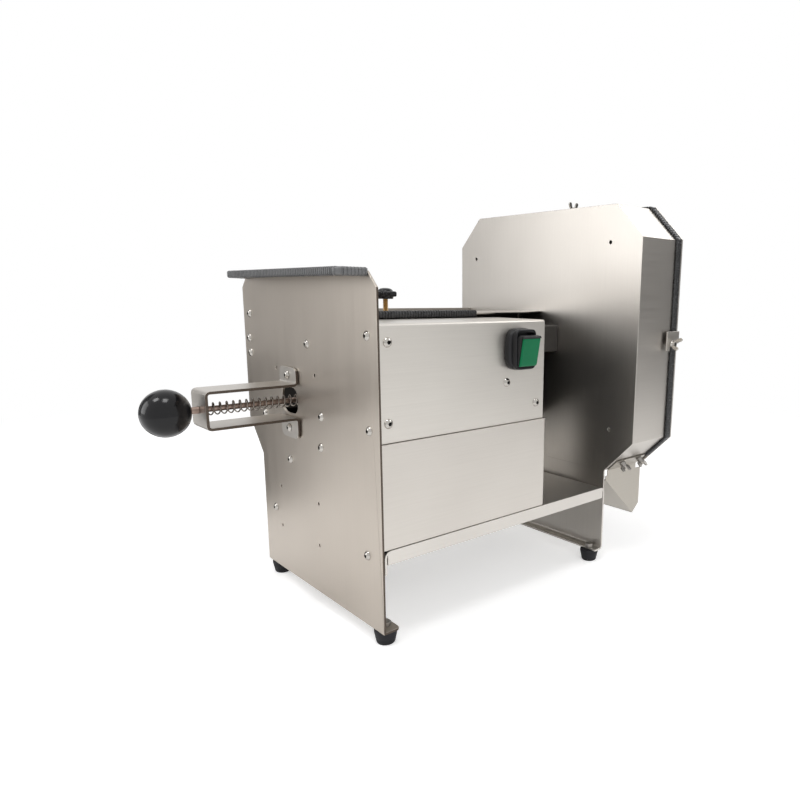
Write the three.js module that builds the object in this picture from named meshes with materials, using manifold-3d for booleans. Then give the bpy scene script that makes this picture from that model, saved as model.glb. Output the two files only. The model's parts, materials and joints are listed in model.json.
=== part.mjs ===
// A bench slicer for meat strips, built from folded stainless sheet.
// X runs from the side plate to the knife housing, Y from the front to the back, Z upwards.
import * as THREE from "three";
import { mergeVertices } from "three/addons/utils/BufferGeometryUtils.js";
import Module from "manifold-3d";

const wasm = await Module();
wasm.setup();

// Clearances and sheet thicknesses, in millimetres
const fit = 0.3;
const plateSheet = 2;
const coverSheet = 1.2;
const troughSheet = 1.5;
const bendRadius = 2.4;

// Knife housing's back plate and depth, which the base, the trough, the pusher and the chute follow
const housingX = 287;
const housingDeep = 64.5;

// Side plate, seen from the left: Y to the right, Z up
const plateWidth = 250;
const plateFootWidth = 221.5;
const plateHeight = 296;
const plateCorner = 12.5;
const plateStepLow = 115;
const footScrewIn = 24.6;
const plateStepHigh = 150;
const topFlangeReach = 25;
const topFlangeFarCorner = 21;
const footFlangeReach = 16.5;
const footCorner = 5;
const plateScrews = [
  [plateWidth - 15.1, 257.6], [plateWidth - 11.4, 233], [plateWidth - 12.7, 218.1],
  [114.8, 234.1], [15, 246.6], [210, 159], [93.4, 171.3], [96.1, 143], [158.3, 120.8], [14.9, 171.1],
  [plateFootWidth - footScrewIn, 63.1], [22.8, 63.7],
];
const plateSpareHoles = [
  [180.9, 207.2], [103.5, 207.2], [183.4, 87.9], [184.6, 46.8], [105.7, 88.3], [107.2, 47.5],
];
const spareHoleRadius = 1.6;
const plateScrewLong = 5;

// Rubber edge strip
const stripThick = 5.9;
const stripDeep = 11;
const stripWall = 2.2;

// Pusher: knob, rod, spring, guide bracket and head
const rodY = 151;
const rodZ = 179;
const rodRadius = 2.5;
const knobRadius = 20;
const knobNeck = 8;
const knobGap = 8.1;
const knobBoreDeep = 24;
const bracketReach = 83.7;
const bracketWidth = 33.8;
const bracketHeight = 34;
const bracketSheet = 2.5;
const bracketTabTop = 211;
const bracketTabLow = 144;
const bracketScrewZ = [203.5, 153.5];
const slotWidth = 32;
const slotHeight = 25;
const slotY = 154;
const slotCorner = 11;
const springOuter = 11.5;
const springWire = 1.2;
const springCurls = 54;
const pusherFront = housingX - 11;
const pusherDeep = 30;
const pusherSheet = 2.5;
const pusherHubReach = 10;
const pusherHubRadius = 8;
const pusherLow = 131.2;
const pusherTop = 193;

// Base
const baseTop = 72.5;
const baseSkirt = 12.2;
const baseEndFlange = 20;
const legX = housingX;
const legFootReach = 12.5;
const baseCorner = 5;
const baseFootCorner = 3;

// Box covers
const boxFront = 3;
const boxTop = 256.3;
const boxEnd = 188;
const boxBack = 133;
const boxSeam = 161.5;
const boxStepTop = 214;
const boxStepLow = 198;
const boxLowBack = 114;
const lowerFront = 1;
const lowerEnd = 191;
const lowerBack = 116;
const lowerLip = 10;
const coverFlange = 21;
const frontScrews = [[10.8, 241.8], [10.4, 177.5], [139, 200.1], [177.7, 177.7]];
const rearFootDeep = 13;
const rearScrewX = [30, 160];
const rearScrewOut = 7;
const ventCount = 6;
const ventLeft = 74;
const ventPitch = 12;
const ventWide = 5;
const ventLow = 92;
const ventHigh = 124;

// Cord gland in the lower cover's back wall
const glandX = 34;
const glandZ = 100;
const glandThread = 6;
const glandBore = 2.6;
const glandFlange = 9;
const glandCap = 8.2;
const glandLong = 19;
const glandTail = 10;

// Rocker switch
const switchX = 152;
const switchZ = 230.4;
const bezelWidth = 32.6;
const bezelHeight = 38.2;
const bezelReach = 6.5;
const bezelBulge = 2.7;
const bezelSteps = 20;
const frameWidth = 25.6;
const frameHeight = 33.6;
const frameReach = 11.5;
const rockerWidth = 22.6;
const rockerHeight = 28;
const rockerTilt = 10;
const rockerReach = 9.4;
const rockerSunk = 3.5;
const rockerDip = 1;
const switchBodyWidth = 22;
const switchBodyHeight = 30;
const switchBodyDeep = 24;

// Shaft, bearing block and belt drive
const shaftY = 105.8;
const shaftZ = 231;
const shaftRadius = 6;
const shaftEndRadius = 4;
const shaftEndLong = 14;
const blockNear = 75;
const blockHeight = 30;
const bearingRadius = 12;
const bearingWide = 6;
const shaftLeft = 150;
const pulleyLeft = 154;
const pulleyWide = 17;
const pulleyFlange = 2;
const drivenRadius = 18;
const driverRadius = 11;
const pulleyRim = 2.6;
const beltThick = 2.2;
const motorY = 46;
const motorZ = 116;
const motorRadius = 38;
const motorLeft = 25;
const motorLong = 110;
const motorShaftRadius = 5;
const motorBoreDeep = 20;
const motorPilot = 12;
const motorBoltCircle = 26;
const motorSeatSheet = 3;
const motorSeatHalf = 36;
const motorSeatFoot = 43;
const motorSeatBoltBack = 31;
const motorSeatBoltSpread = 24;
const blockBoltLong = 14;
const blockBoltIn = 8;
const blockBoltDown = 7;

// Knife disc
const discX = housingX + 9;
const discThick = 5;
const discRadius = 127;
const discBoss = 14;
const discBossHigh = 5;
const discNutHigh = 6;
const discNutAcross = 16;
const knifeX = discX - 3.4;
const knifeThick = 1.8;
const knifeCount = 2;
const knifeInner = 24;
const knifeRim = 9;
const knifeWide = 20;
const knifeLead = 6;
const knifeCurl = 0.9;
const knifeSlotWide = 12;
const knifeSeatLead = 6;
const knifeSeatTrim = 7;
const knifeScrewLong = 7;
const knifeScrewHead = 3.2;
const knifeScrewHeadHigh = 1.2;

// Knife housing
const housingY = 105.85;
const housingZ = 231.15;
const housingWide = 280.1;
const housingHigh = 280.9;
const housingCorner = 34;
const housingLowCorner = 36;
const rimStripDeep = 6.2;
const stripX = housingX + housingDeep - rimStripDeep;
const stripProud = 2.5;
const stripEndUp = 9;
const coverX = housingX + housingDeep + stripWall + 0.1;
const coverThick = 1.7;
const tongueLow = 48;
const tongueBoltInset = 28.2;
const faceHoles = [[5.8, 333.6], [-2.6, 137.5], [217.6, 322.8]];
const faceHoleRadius = 2;
const clipZ = 232.5;
const clipWide = 20.4;
const clipReach = 22.5;
const clipStand = 3.2;
const clipScrewBack = 12;
const clipScrewDrop = 3;
const clipScrewRadius = 2.5;
const clipWingSpan = 16;

// Chute
const chuteEnd = coverX - 0.5;
const chuteLowX = housingX + 55;
const chuteLowZ = 30.5;
const chuteToeZ = 40.7;
const chuteHeelZ = 79.5;
const chuteHang = 18;
const chuteNutX = [housingX + 19, housingX + 50];
const chuteNutUp = 12.5;
const nutWingSpan = 15;
const studRadius = 2;

// Trough, with its channel and deck
const deckNear = 75;
const deckTop = 261;
const deckCutX = housingX - 56;
const deckCutY = 104;
const wallNear = 140;
const channelNear = 121;
const channelFar = 186.5;
const channelFloor = 130;
const farWallIn = 21;
const farWall = plateWidth - farWallIn;
const troughTop = 262;
const troughStepTop = 211.6;
const troughStepLow = 195;
const slopeLow = 165;
const slopeTop = 207;
const deckFlangeNear = 86;
const deckFlangeLow = 225;
const channelFlangeNear = 84;
const channelFlangeLow = 135;
const channelFlangeHigh = 182;
const floorFlangeLow = 111;
const slopeFlangeFar = 218;
const slopeFlangeHigh = 192;
const stripEnd = 163;

// Star knob
const starX = 72;
const starY = 98;
const starRadius = 11.4;
const starTop = 284;
const starHubLow = 274;
const starHubRadius = 7.35;
const starStudRadius = 2.5;
const starStudLow = 247;

// Feet
const footTopRadius = 10;
const footLowRadius = 8;
const footHeight = 13;
const footInset = 12;
const footScrewDeep = 7;
const leftFootX = 9;
const rightFootX = legX - 8;

// Fasteners
const screwRadius = 2;
const screwHead = 4;
const screwHeadHigh = 2.6;
const boltRadius = 2.5;
const boltHead = 4.6;
const boltHeadHigh = 3.5;
const wingHub = 3.6;
const wingHubHigh = 5;
const wingHigh = 11;
const wingThick = 1.8;
const roundSides = 8;

// Finishes
const finish = (color, metalness, roughness) => (
  new THREE.MeshStandardMaterial({ color, metalness, roughness })
);
const steel = (colour) => finish(colour, 0.9, 0.4);
const plain = (colour, rough) => finish(colour, 0, rough);
const sheetSteel = steel(0xc4bdb6);
const darkSteel = steel(0x6b6762);
const knifeSteel = steel(0xd6d6d4);
const brass = steel(0xb08d4f);
const blackRubber = plain(0x17171a, 0.8);
const blackPlastic = plain(0x1a1a1c, 0.45);
const knobPlastic = plain(0x0c0c0e, 0.12);
const greenPlastic = plain(0x2da56e, 0.35);
const motorPaint = plain(0x3a3f45, 0.6);

const model = new THREE.Group();

// Solid helpers
function toSolid(geometry) {
  const bare = geometry.clone();
  bare.deleteAttribute("uv");
  bare.deleteAttribute("normal");
  const merged = outward(mergeVertices(bare, 1e-4));
  return new wasm.Manifold(new wasm.Mesh({
    numProp: 3,
    vertProperties: new Float32Array(merged.attributes.position.array),
    triVerts: new Uint32Array(merged.index.array),
  }));
}

function toGeometry(solid) {
  const data = solid.getMesh();
  const geometry = new THREE.BufferGeometry();
  geometry.setAttribute("position", new THREE.BufferAttribute(new Float32Array(data.vertProperties), 3));
  geometry.setIndex(new THREE.BufferAttribute(new Uint32Array(data.triVerts), 1));
  return geometry;
}

function joined(solids) {
  return solids.reduce((whole, next) => whole.add(next));
}

function cut(solid, tools) {
  return tools.reduce((left, tool) => left.subtract(tool), solid);
}

function addPiece(name, shape, material) {
  const geometry = shape.isBufferGeometry ? shape : toGeometry(shape);
  const mesh = new THREE.Mesh(geometry, material.clone());
  mesh.name = name;
  model.add(mesh);
}

// Outline helpers, on plain [u, v] points
function circle(u, v, radius, sides = roundSides, turn = 0) {
  const points = [];
  for (let i = 0; i < sides; i += 1) {
    const angle = turn + (2 * Math.PI * i) / sides;
    points.push([u + radius * Math.cos(angle), v + radius * Math.sin(angle)]);
  }
  return points;
}

function rectangle(u0, v0, u1, v1) {
  return [[u0, v0], [u1, v0], [u1, v1], [u0, v1]];
}

// The same outline with each corner rounded; radii is one number or one for each corner
function rounded(points, radii, steps = 3) {
  const result = [];
  points.forEach((corner, i) => {
    const radius = Array.isArray(radii) ? radii[i] : radii;
    if (!radius) {
      result.push(corner);
      return;
    }
    const at = new THREE.Vector2(...corner);
    const before = new THREE.Vector2(...points[(i + points.length - 1) % points.length]).sub(at);
    const after = new THREE.Vector2(...points[(i + 1) % points.length]).sub(at);
    const half = Math.abs(before.angleTo(after)) / 2;
    const back = Math.min(radius / Math.tan(half), before.length() * 0.49, after.length() * 0.49);
    const start = at.clone().addScaledVector(before.normalize(), back);
    const end = at.clone().addScaledVector(after.normalize(), back);
    for (let s = 0; s <= steps; s += 1) {
      const t = s / steps;
      const x = (1 - t) ** 2 * start.x + 2 * t * (1 - t) * at.x + t ** 2 * end.x;
      const y = (1 - t) ** 2 * start.y + 2 * t * (1 - t) * at.y + t ** 2 * end.y;
      result.push([x, y]);
    }
  });
  return result;
}

// The outline of a sheet folded along a line of points, half its thickness each side;
// radii is one number or one for each bend
function folded(points, thick, radii = bendRadius, steps = 3) {
  const path = points.map((p) => new THREE.Vector2(...p));
  const left = [];
  const right = [];
  const put = (at, direction) => {
    const side = new THREE.Vector2(-direction.y, direction.x).multiplyScalar(thick / 2);
    left.push([at.x + side.x, at.y + side.y]);
    right.push([at.x - side.x, at.y - side.y]);
  };
  const directions = path.slice(1).map((p, i) => p.clone().sub(path[i]).normalize());
  put(path[0], directions[0]);
  for (let i = 1; i < path.length - 1; i += 1) {
    const a = directions[i - 1];
    const b = directions[i];
    const radius = Array.isArray(radii) ? radii[i - 1] : radii;
    const turn = Math.atan2(a.x * b.y - a.y * b.x, a.dot(b));
    const back = radius * Math.tan(Math.abs(turn) / 2);
    const start = path[i].clone().addScaledVector(a, -back);
    const centre = start.clone().add(new THREE.Vector2(-a.y, a.x).multiplyScalar(Math.sign(turn) * radius));
    for (let s = 0; s <= steps; s += 1) {
      const angle = (turn * s) / steps;
      const arm = start.clone().sub(centre).rotateAround(new THREE.Vector2(), angle);
      put(centre.clone().add(arm), a.clone().rotateAround(new THREE.Vector2(), angle));
    }
  }
  put(path[path.length - 1], directions[directions.length - 1]);
  return left.concat(right.reverse());
}

function flat(points, holes = []) {
  const outline = points.map((p) => new THREE.Vector2(...p));
  const shape = new THREE.Shape(THREE.ShapeUtils.isClockWise(outline) ? outline.reverse() : outline);
  holes.forEach((hole) => shape.holes.push(new THREE.Path(hole.map((p) => new THREE.Vector2(...p)))));
  return shape;
}

// Prisms along each axis: outlines are [y, z] along X, [x, z] along Y and [x, y] along Z
const frames = {
  x: [new THREE.Vector3(0, 1, 0), new THREE.Vector3(0, 0, 1), new THREE.Vector3(1, 0, 0)],
  y: [new THREE.Vector3(1, 0, 0), new THREE.Vector3(0, 0, 1), new THREE.Vector3(0, -1, 0)],
  z: [new THREE.Vector3(1, 0, 0), new THREE.Vector3(0, 1, 0), new THREE.Vector3(0, 0, 1)],
};

function prism(axis, from, to, points, holes = []) {
  const geometry = new THREE.ExtrudeGeometry(flat(points, holes), { depth: to - from, bevelEnabled: false });
  const matrix = new THREE.Matrix4().makeBasis(...frames[axis]);
  matrix.setPosition(frames[axis][2].clone().multiplyScalar(axis === "y" ? -to : from));
  return toSolid(geometry.applyMatrix4(matrix));
}

function block(x0, x1, y0, y1, z0, z1) {
  return prism("z", z0, z1, rectangle(x0, y0, x1, y1));
}

function bar(axis, from, to, u, v, radius, sides = roundSides) {
  return prism(axis, from, to, circle(u, v, radius, sides));
}

// A turned piece: profile is [radius, height] along the given direction from a point
function turned(profile, at, direction, sides = roundSides) {
  const lathe = new THREE.LatheGeometry(profile.map((p) => new THREE.Vector2(...p)), sides);
  const turn = new THREE.Quaternion().setFromUnitVectors(new THREE.Vector3(0, 1, 0), direction);
  lathe.applyQuaternion(turn);
  lathe.translate(...at);
  return toSolid(lathe);
}

const left = new THREE.Vector3(-1, 0, 0);
const right = new THREE.Vector3(1, 0, 0);
const front = new THREE.Vector3(0, -1, 0);
const back = new THREE.Vector3(0, 1, 0);
const up = new THREE.Vector3(0, 0, 1);

// A button-head screw whose head stands off the surface at a point by a clearance, or grows from it
function buttonScrew(at, direction, shank, clear = 0) {
  const profile = [
    [0, -shank], [screwRadius, -shank], [screwRadius, clear], [screwHead, clear],
    [screwHead * 0.8, clear + screwHeadHigh * 0.75], [0, clear + screwHeadHigh],
  ];
  return turned(profile, at, direction);
}

function hexBolt(at, direction, shank, clear = 0) {
  const top = clear + boltHeadHigh;
  const head = turned([[0, clear], [boltHead, clear], [boltHead, top], [0, top]], at, direction, 6);
  const stem = [[0, -shank], [boltRadius, -shank], [boltRadius, clear + 1], [0, clear + 1]];
  return head.add(turned(stem, at, direction));
}

function hexNut(axis, from, thick, u, v, across, bore) {
  return prism(axis, from, from + thick, circle(u, v, across / Math.sqrt(3), 6), [circle(u, v, bore, 12)]);
}

// An octagon round the housing's middle, moved out by grow
function octagon(grow) {
  const wide = housingWide / 2 + grow;
  const high = housingHigh / 2 + grow;
  const upper = housingCorner + grow * (2 - Math.SQRT2);
  const lower = housingLowCorner + grow * (2 - Math.SQRT2);
  const points = [
    [wide, high - upper], [wide - upper, high], [upper - wide, high], [-wide, high - upper],
    [-wide, lower - high], [lower - wide, -high], [wide - lower, -high], [wide, lower - high],
  ];
  return points.map(([y, z]) => [housingY + y, housingZ + z]);
}

const housingLow = housingZ - housingHigh / 2;
const housingTop = housingZ + housingHigh / 2;
const housingNear = housingY - housingWide / 2;
const chuteNear = housingNear + housingLowCorner;
const mirrorY = (y) => 2 * housingY - y;
const mirrored = (points) => points.map(([y, z]) => [mirrorY(y), z]).reverse();

// Side plate: one sheet with a flange outwards at the top and inwards at the foot
function sidePlate() {
  const outline = [
    [0, 0], [plateFootWidth, 0], [plateFootWidth, plateStepLow], [plateWidth, plateStepHigh],
    [plateWidth, plateHeight - plateCorner], [plateWidth - plateCorner, plateHeight],
    [plateCorner, plateHeight], [0, plateHeight - plateCorner],
  ];
  const slot = rounded(rectangle(
    slotY - slotWidth / 2, rodZ - slotHeight / 2, slotY + slotWidth / 2, rodZ + slotHeight / 2,
  ), slotCorner, 4);
  const holes = [slot];
  bracketScrewZ.forEach((z) => holes.push(circle(rodY, z, screwRadius + fit)));
  plateSpareHoles.forEach(([y, z]) => holes.push(circle(y, z, spareHoleRadius, 8)));
  const sheet = prism("x", 0, plateSheet, outline, holes);
  const topFlange = prism("z", plateHeight - plateSheet, plateHeight, topFlangeOutline(0));
  const foot = prism("z", 0, plateSheet, rounded(
    rectangle(0, 0, footFlangeReach, plateFootWidth), [0, footCorner, footCorner, 0],
  ), footHoles(leftFootX));
  const screws = plateScrews.map(([y, z]) => buttonScrew([0, y, z], left, plateScrewLong));
  return joined([sheet, topFlange, foot, ...screws]);
}

// The top flange's outline moved out by grow, from its inner edge at a given X
function topFlangeOutline(grow, inner = plateSheet) {
  const reach = -topFlangeReach - grow;
  const near = plateCorner - grow;
  const far = plateWidth - plateCorner + grow;
  const corner = topFlangeFarCorner + grow * (2 - Math.SQRT2);
  return [
    [inner, near], [inner, far], [reach + corner, far],
    [reach, far - corner], [reach, near + 3], [reach + 3, near],
  ];
}

function footYs() {
  return [footInset, plateFootWidth - footInset];
}

function footHoles(x) {
  return footYs().map((y) => circle(x, y, boltRadius + fit));
}

// Rubber strip pushed over the free edges of the top flange
function plateStrip() {
  const middle = plateHeight - plateSheet / 2;
  const low = middle - stripThick / 2;
  const high = middle + stripThick / 2;
  const inner = topFlangeReach;
  const ring = prism("z", low, high, topFlangeOutline(stripWall, inner))
    .subtract(prism("z", low - 1, high + 1, topFlangeOutline(stripWall - stripDeep, inner + 1)))
    .subtract(block(-fit, inner + 2, 0, plateWidth, low - 1, high + 1));
  return ring.subtract(prism("z", plateHeight - plateSheet - fit / 2, plateHeight + fit / 2,
    topFlangeOutline(fit / 2)));
}

// Guide bracket: a strip folded like a hat, with its two tabs on the side plate
function bracket() {
  const half = bracketSheet / 2;
  const low = rodZ + 0.4 - bracketHeight / 2 + half;
  const high = rodZ + 0.4 + bracketHeight / 2 - half;
  const near = rodY - bracketWidth / 2;
  const far = rodY + bracketWidth / 2;
  const path = [
    [-half - fit, bracketTabLow], [-half - fit, low], [-bracketReach + half, low],
    [-bracketReach + half, high], [-half - fit, high], [-half - fit, bracketTabTop],
  ];
  const strip = prism("y", near, far, folded(path, bracketSheet, 3));
  const trimmed = strip.intersect(prism("x", -bracketReach - 1, 1, rounded(
    rectangle(near, bracketTabLow, far, bracketTabTop), 7,
  )));
  const holes = bracketScrewZ.map((z) => bar("x", -10, 1, rodY, z, screwRadius + fit));
  const rodHole = bar("x", -bracketReach - 1, -bracketReach + 5, rodY, rodZ, rodRadius + fit);
  return cut(trimmed, [...holes, rodHole]);
}

// Ball knob with a blind bore for the rod
function ballKnob() {
  const base = Math.sqrt(knobRadius ** 2 - knobNeck ** 2);
  const profile = [[0, base - knobBoreDeep], [rodRadius + fit, base - knobBoreDeep], [rodRadius + fit, base]];
  const first = Math.asin(knobNeck / knobRadius);
  const steps = 10;
  for (let i = 0; i <= steps; i += 1) {
    const angle = first + ((Math.PI - first) * i) / steps;
    profile.push([i === steps ? 0 : knobRadius * Math.sin(angle), knobRadius * Math.cos(angle)]);
  }
  return turned(profile, [knobX, rodY, rodZ], right, 22);
}

const knobFace = -bracketReach - knobGap;
const knobX = knobFace - Math.sqrt(knobRadius ** 2 - knobNeck ** 2);
const hubFace = pusherFront - pusherDeep - pusherHubReach;
const springLeft = -bracketReach + bracketSheet + fit;
const springRight = hubFace - fit;

function pusherRod() {
  return bar("x", knobFace - knobBoreDeep + 2, pusherFront - pusherSheet - fit, rodY, rodZ, rodRadius, 14);
}

// Pusher head: a pan with a hub for the rod at its back
function pusherHead() {
  const near = channelNear + 1;
  const far = channelFar - 1;
  const outline = rounded(rectangle(near, pusherLow, far, pusherTop), 3, 2);
  const inner = rounded(rectangle(
    near + pusherSheet, pusherLow + pusherSheet, far - pusherSheet, pusherTop - pusherSheet,
  ), 2, 1);
  const pan = prism("x", pusherFront - pusherDeep, pusherFront, outline)
    .subtract(prism("x", pusherFront - pusherDeep - 1, pusherFront - pusherSheet, inner));
  const hub = bar("x", hubFace, pusherFront - 1, rodY, rodZ, pusherHubRadius, 16);
  return pan.add(hub).subtract(
    bar("x", hubFace - 1, pusherFront - pusherSheet, rodY, rodZ, rodRadius + fit, 14),
  );
}

// Return spring: one wire wound round the rod, its ends running straight to their seats
function returnSpring() {
  const wire = springWire / 2;
  const mean = springOuter / 2 - wire;
  const stub = springWire;
  const steps = springCurls * 8;
  const start = springLeft + stub;
  const long = springRight - springLeft - 2 * stub;
  const centres = [[springLeft, mean, 0]];
  for (let i = 0; i <= steps; i += 1) {
    centres.push([start + (long * i) / steps, mean, (2 * Math.PI * i) / 8]);
  }
  centres.push([springRight, mean, (2 * Math.PI * steps) / 8]);
  const ring = 5;
  const positions = [];
  const points = [];
  centres.forEach(([x, radius, angle], i) => {
    const straight = i === 0 || i === centres.length - 1;
    const slope = straight ? 0 : Math.atan2(long / steps, (2 * Math.PI * mean) / 8);
    const lean = i <= 1 || i >= centres.length - 2 ? Math.PI / 2 : slope;
    const out = new THREE.Vector3(0, Math.cos(angle), Math.sin(angle));
    const round = new THREE.Vector3(0, -Math.sin(angle), Math.cos(angle));
    const forward = right.clone().multiplyScalar(Math.sin(lean)).addScaledVector(round, Math.cos(lean));
    const across = new THREE.Vector3().crossVectors(forward, out);
    const centre = new THREE.Vector3(x, rodY, rodZ).addScaledVector(out, radius);
    points.push(centre);
    for (let s = 0; s < ring; s += 1) {
      const a = (2 * Math.PI * s) / ring;
      const p = centre.clone().addScaledVector(out, wire * Math.cos(a));
      p.addScaledVector(across, wire * Math.sin(a));
      positions.push(p.x, p.y, p.z);
    }
  });
  const index = [];
  const rows = centres.length;
  for (let i = 0; i < rows - 1; i += 1) {
    for (let s = 0; s < ring; s += 1) {
      const a = i * ring + s;
      const b = i * ring + ((s + 1) % ring);
      index.push(a, a + ring, b, b, a + ring, b + ring);
    }
  }
  for (let s = 1; s < ring - 1; s += 1) {
    index.push(0, s, s + 1);
    index.push((rows - 1) * ring, (rows - 1) * ring + s + 1, (rows - 1) * ring + s);
  }
  const geometry = new THREE.BufferGeometry();
  geometry.setAttribute("position", new THREE.Float32BufferAttribute(positions, 3));
  geometry.setIndex(index);
  let least = Infinity;
  for (let i = 0; i < points.length; i += 1) {
    for (let j = i + 6; j < Math.min(points.length, i + 20); j += 1) {
      least = Math.min(least, points[i].distanceTo(points[j]) - springWire);
    }
  }
  console.log(`return spring: ${springCurls} curls, least gap to itself ${least.toFixed(2)} mm`);
  return outward(geometry);
}

// The same closed mesh with its faces turned to point out
function outward(geometry) {
  const p = geometry.attributes.position;
  const index = geometry.index.array;
  let volume = 0;
  const [a, b, c] = [new THREE.Vector3(), new THREE.Vector3(), new THREE.Vector3()];
  for (let i = 0; i < index.length; i += 3) {
    a.fromBufferAttribute(p, index[i]);
    b.fromBufferAttribute(p, index[i + 1]);
    c.fromBufferAttribute(p, index[i + 2]);
    volume += a.dot(b.cross(c));
  }
  if (volume < 0) {
    for (let i = 0; i < index.length; i += 3) {
      [index[i + 1], index[i + 2]] = [index[i + 2], index[i + 1]];
    }
  }
  return geometry;
}

// Base: a shelf folded down to a leg at the housing end and to a flange at the side plate
function base() {
  const half = plateSheet / 2;
  const low = baseTop - half;
  const leftX = plateSheet + fit + half;
  const path = [
    [leftX, baseTop - baseEndFlange], [leftX, low], [legX - half, low],
    [legX - half, half], [legX - legFootReach, half],
  ];
  const bends = [baseCorner, baseCorner, baseFootCorner];
  const shelf = prism("y", 0, plateFootWidth, folded(path, plateSheet, bends));
  const skirtLeft = leftX + half + 1;
  const skirtRight = legX - plateSheet - 1;
  const skirt = (y) => block(skirtLeft, skirtRight, y, y + plateSheet, baseTop - baseSkirt, baseTop - 1);
  const holes = [
    ...footYs().map((y) => bar("z", -1, plateSheet + 1, rightFootX, y, boltRadius + fit)),
    ...basePlateScrews().map(([y, z]) => bar("x", 0, 8, y, z, screwRadius + fit)),
    ...tongueBolts().map(([y, z]) => bar("x", legX - 5, legX + 1, y, z, boltRadius + fit)),
    ...motorFootBolts().map(([x, y]) => bar("z", baseTop - 5, baseTop + 1, x, y, boltRadius + fit)),
    ...rearFootScrews().map(([x, y]) => bar("z", baseTop - 5, baseTop + 1, x, y, screwRadius + fit)),
  ];
  return cut(joined([shelf, skirt(0), skirt(plateFootWidth - plateSheet)]), holes);
}

const isLow = ([, z]) => z < baseTop;
const basePlateScrews = () => plateScrews.filter(isLow);
const tongueBoltY = () => [chuteNear + tongueBoltInset, housingY, mirrorY(chuteNear + tongueBoltInset)];
const tongueBolts = () => tongueBoltY().map((y) => [y, (tongueLow + baseTop) / 2 - 1]);
const motorFootBolts = () => [-motorSeatBoltSpread, motorSeatBoltSpread].map(
  (side) => [motorFace - motorSeatBoltBack, motorY + side],
);
const rearFootScrews = () => rearScrewX.map((x) => [x, lowerBack + rearScrewOut]);

// Lower cover: front, end and back walls from one strip, with a lip for the upper cover
function lowerCover() {
  const half = coverSheet / 2;
  const frontStart = plateSheet + fit;
  const backStart = frontStart + troughSheet + fit + 1;
  const path = [
    [frontStart, lowerFront + half], [lowerEnd - half, lowerFront + half],
    [lowerEnd - half, lowerBack - half], [backStart, lowerBack - half],
  ];
  const low = baseTop + fit;
  const high = boxSeam - fit;
  const walls = prism("z", low, high, folded(path, coverSheet));
  const lipShape = rounded([
    [frontStart, lowerFront], [lowerEnd, lowerFront], [lowerEnd, lowerBack], [backStart, lowerBack],
    [backStart, lowerBack - lowerLip], [lowerEnd - lowerLip, lowerBack - lowerLip],
    [lowerEnd - lowerLip, lowerFront + lowerLip], [frontStart, lowerFront + lowerLip],
  ], [0, bendRadius, bendRadius, 0, 0, 0, 0, 0]);
  const lip = prism("z", high - coverSheet, high, lipShape);
  const footBack = lowerBack + rearFootDeep;
  const foot = block(backStart, lowerEnd - 6, lowerBack - half, footBack, low, low + coverSheet);
  const screws = rearFootScrews().map(([x, y]) => buttonScrew([x, y, low + coverSheet], up, 6));
  const holes = [
    bar("y", lowerBack - 5, lowerBack + 3, glandX, glandZ, glandThread + fit, 16),
    ...ventSlots(),
  ];
  return joined([cut(joined([walls, lip, foot]), holes), ...screws]);
}

// Cooling slots through the back wall, behind the motor
function ventSlots() {
  const slots = [];
  for (let i = 0; i < ventCount; i += 1) {
    const x = ventLeft + ventPitch * i;
    const slot = rounded(rectangle(x, ventLow, x + ventWide, ventHigh), ventWide * 0.48, 2);
    slots.push(prism("y", lowerBack - 5, lowerBack + 3, slot));
  }
  return slots;
}

// Upper cover: front, top and stepped back from one sheet, closed at the housing end
function upperCover() {
  const half = coverSheet / 2;
  const path = [
    [boxFront + half, boxSeam], [boxFront + half, boxTop - half], [boxBack - half, boxTop - half],
    [boxBack - half, boxStepTop], [boxLowBack - half, boxStepLow], [boxLowBack - half, boxSeam],
  ];
  const leftX = plateSheet + fit;
  const shell = prism("x", leftX, boxEnd, folded(path, coverSheet, 2, 4));
  const closing = prism("x", boxEnd - coverSheet, boxEnd, rounded([
    [boxFront, boxSeam], [boxLowBack, boxSeam], [boxLowBack, boxStepLow],
    [boxBack, boxStepTop], [boxBack, boxTop], [boxFront, boxTop],
  ], [0, 0, 0, 0, 2.6, 2.6]));
  const flange = prism("x", leftX, leftX + coverSheet, rectangle(
    boxFront + half, boxSeam, boxFront + coverFlange, boxTop - half,
  ));
  const clear = block(leftX - 1, leftX + 3, 2 * coverFlange, boxBack + 5, boxSeam - 1, boxTop + 1);
  const holes = [
    ...coverPlateScrews().map(([y, z]) => bar("x", 0, 8, y, z, screwRadius + fit)),
    bar("x", boxEnd - 4, boxEnd + 2, shaftY, shaftZ, shaftRadius + 3, 20),
    bar("z", boxTop - 4, boxTop + 2, starX, starY, starStudRadius + fit),
    prism("y", boxFront - 2, boxFront + 4, rounded(rectangle(
      switchX - switchBodyWidth / 2 - fit, switchZ - switchBodyHeight / 2 - fit,
      switchX + switchBodyWidth / 2 + fit, switchZ + switchBodyHeight / 2 + fit,
    ), 2)),
  ];
  const screws = frontScrews.map(([x, z]) => buttonScrew([x, boxFront, z], front, 7));
  const bolts = blockBoltPlaces().map(([y, z]) => hexBolt([boxEnd - coverSheet, y, z], left, blockBoltLong));
  return joined([cut(joined([shell, closing, flange]).subtract(clear), holes), ...screws, ...bolts]);
}

const coverPlateScrews = () => plateScrews.filter(([y, z]) => y < boxFront + coverFlange && z > boxSeam);

function blockBoltPlaces() {
  const near = blockNear + blockBoltIn;
  const far = 2 * shaftY - near;
  const low = shaftZ - blockHeight / 2 + blockBoltDown;
  const high = shaftZ + blockHeight / 2 - blockBoltDown;
  return [[near, low], [near, high], [far, low], [far, high]];
}

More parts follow.
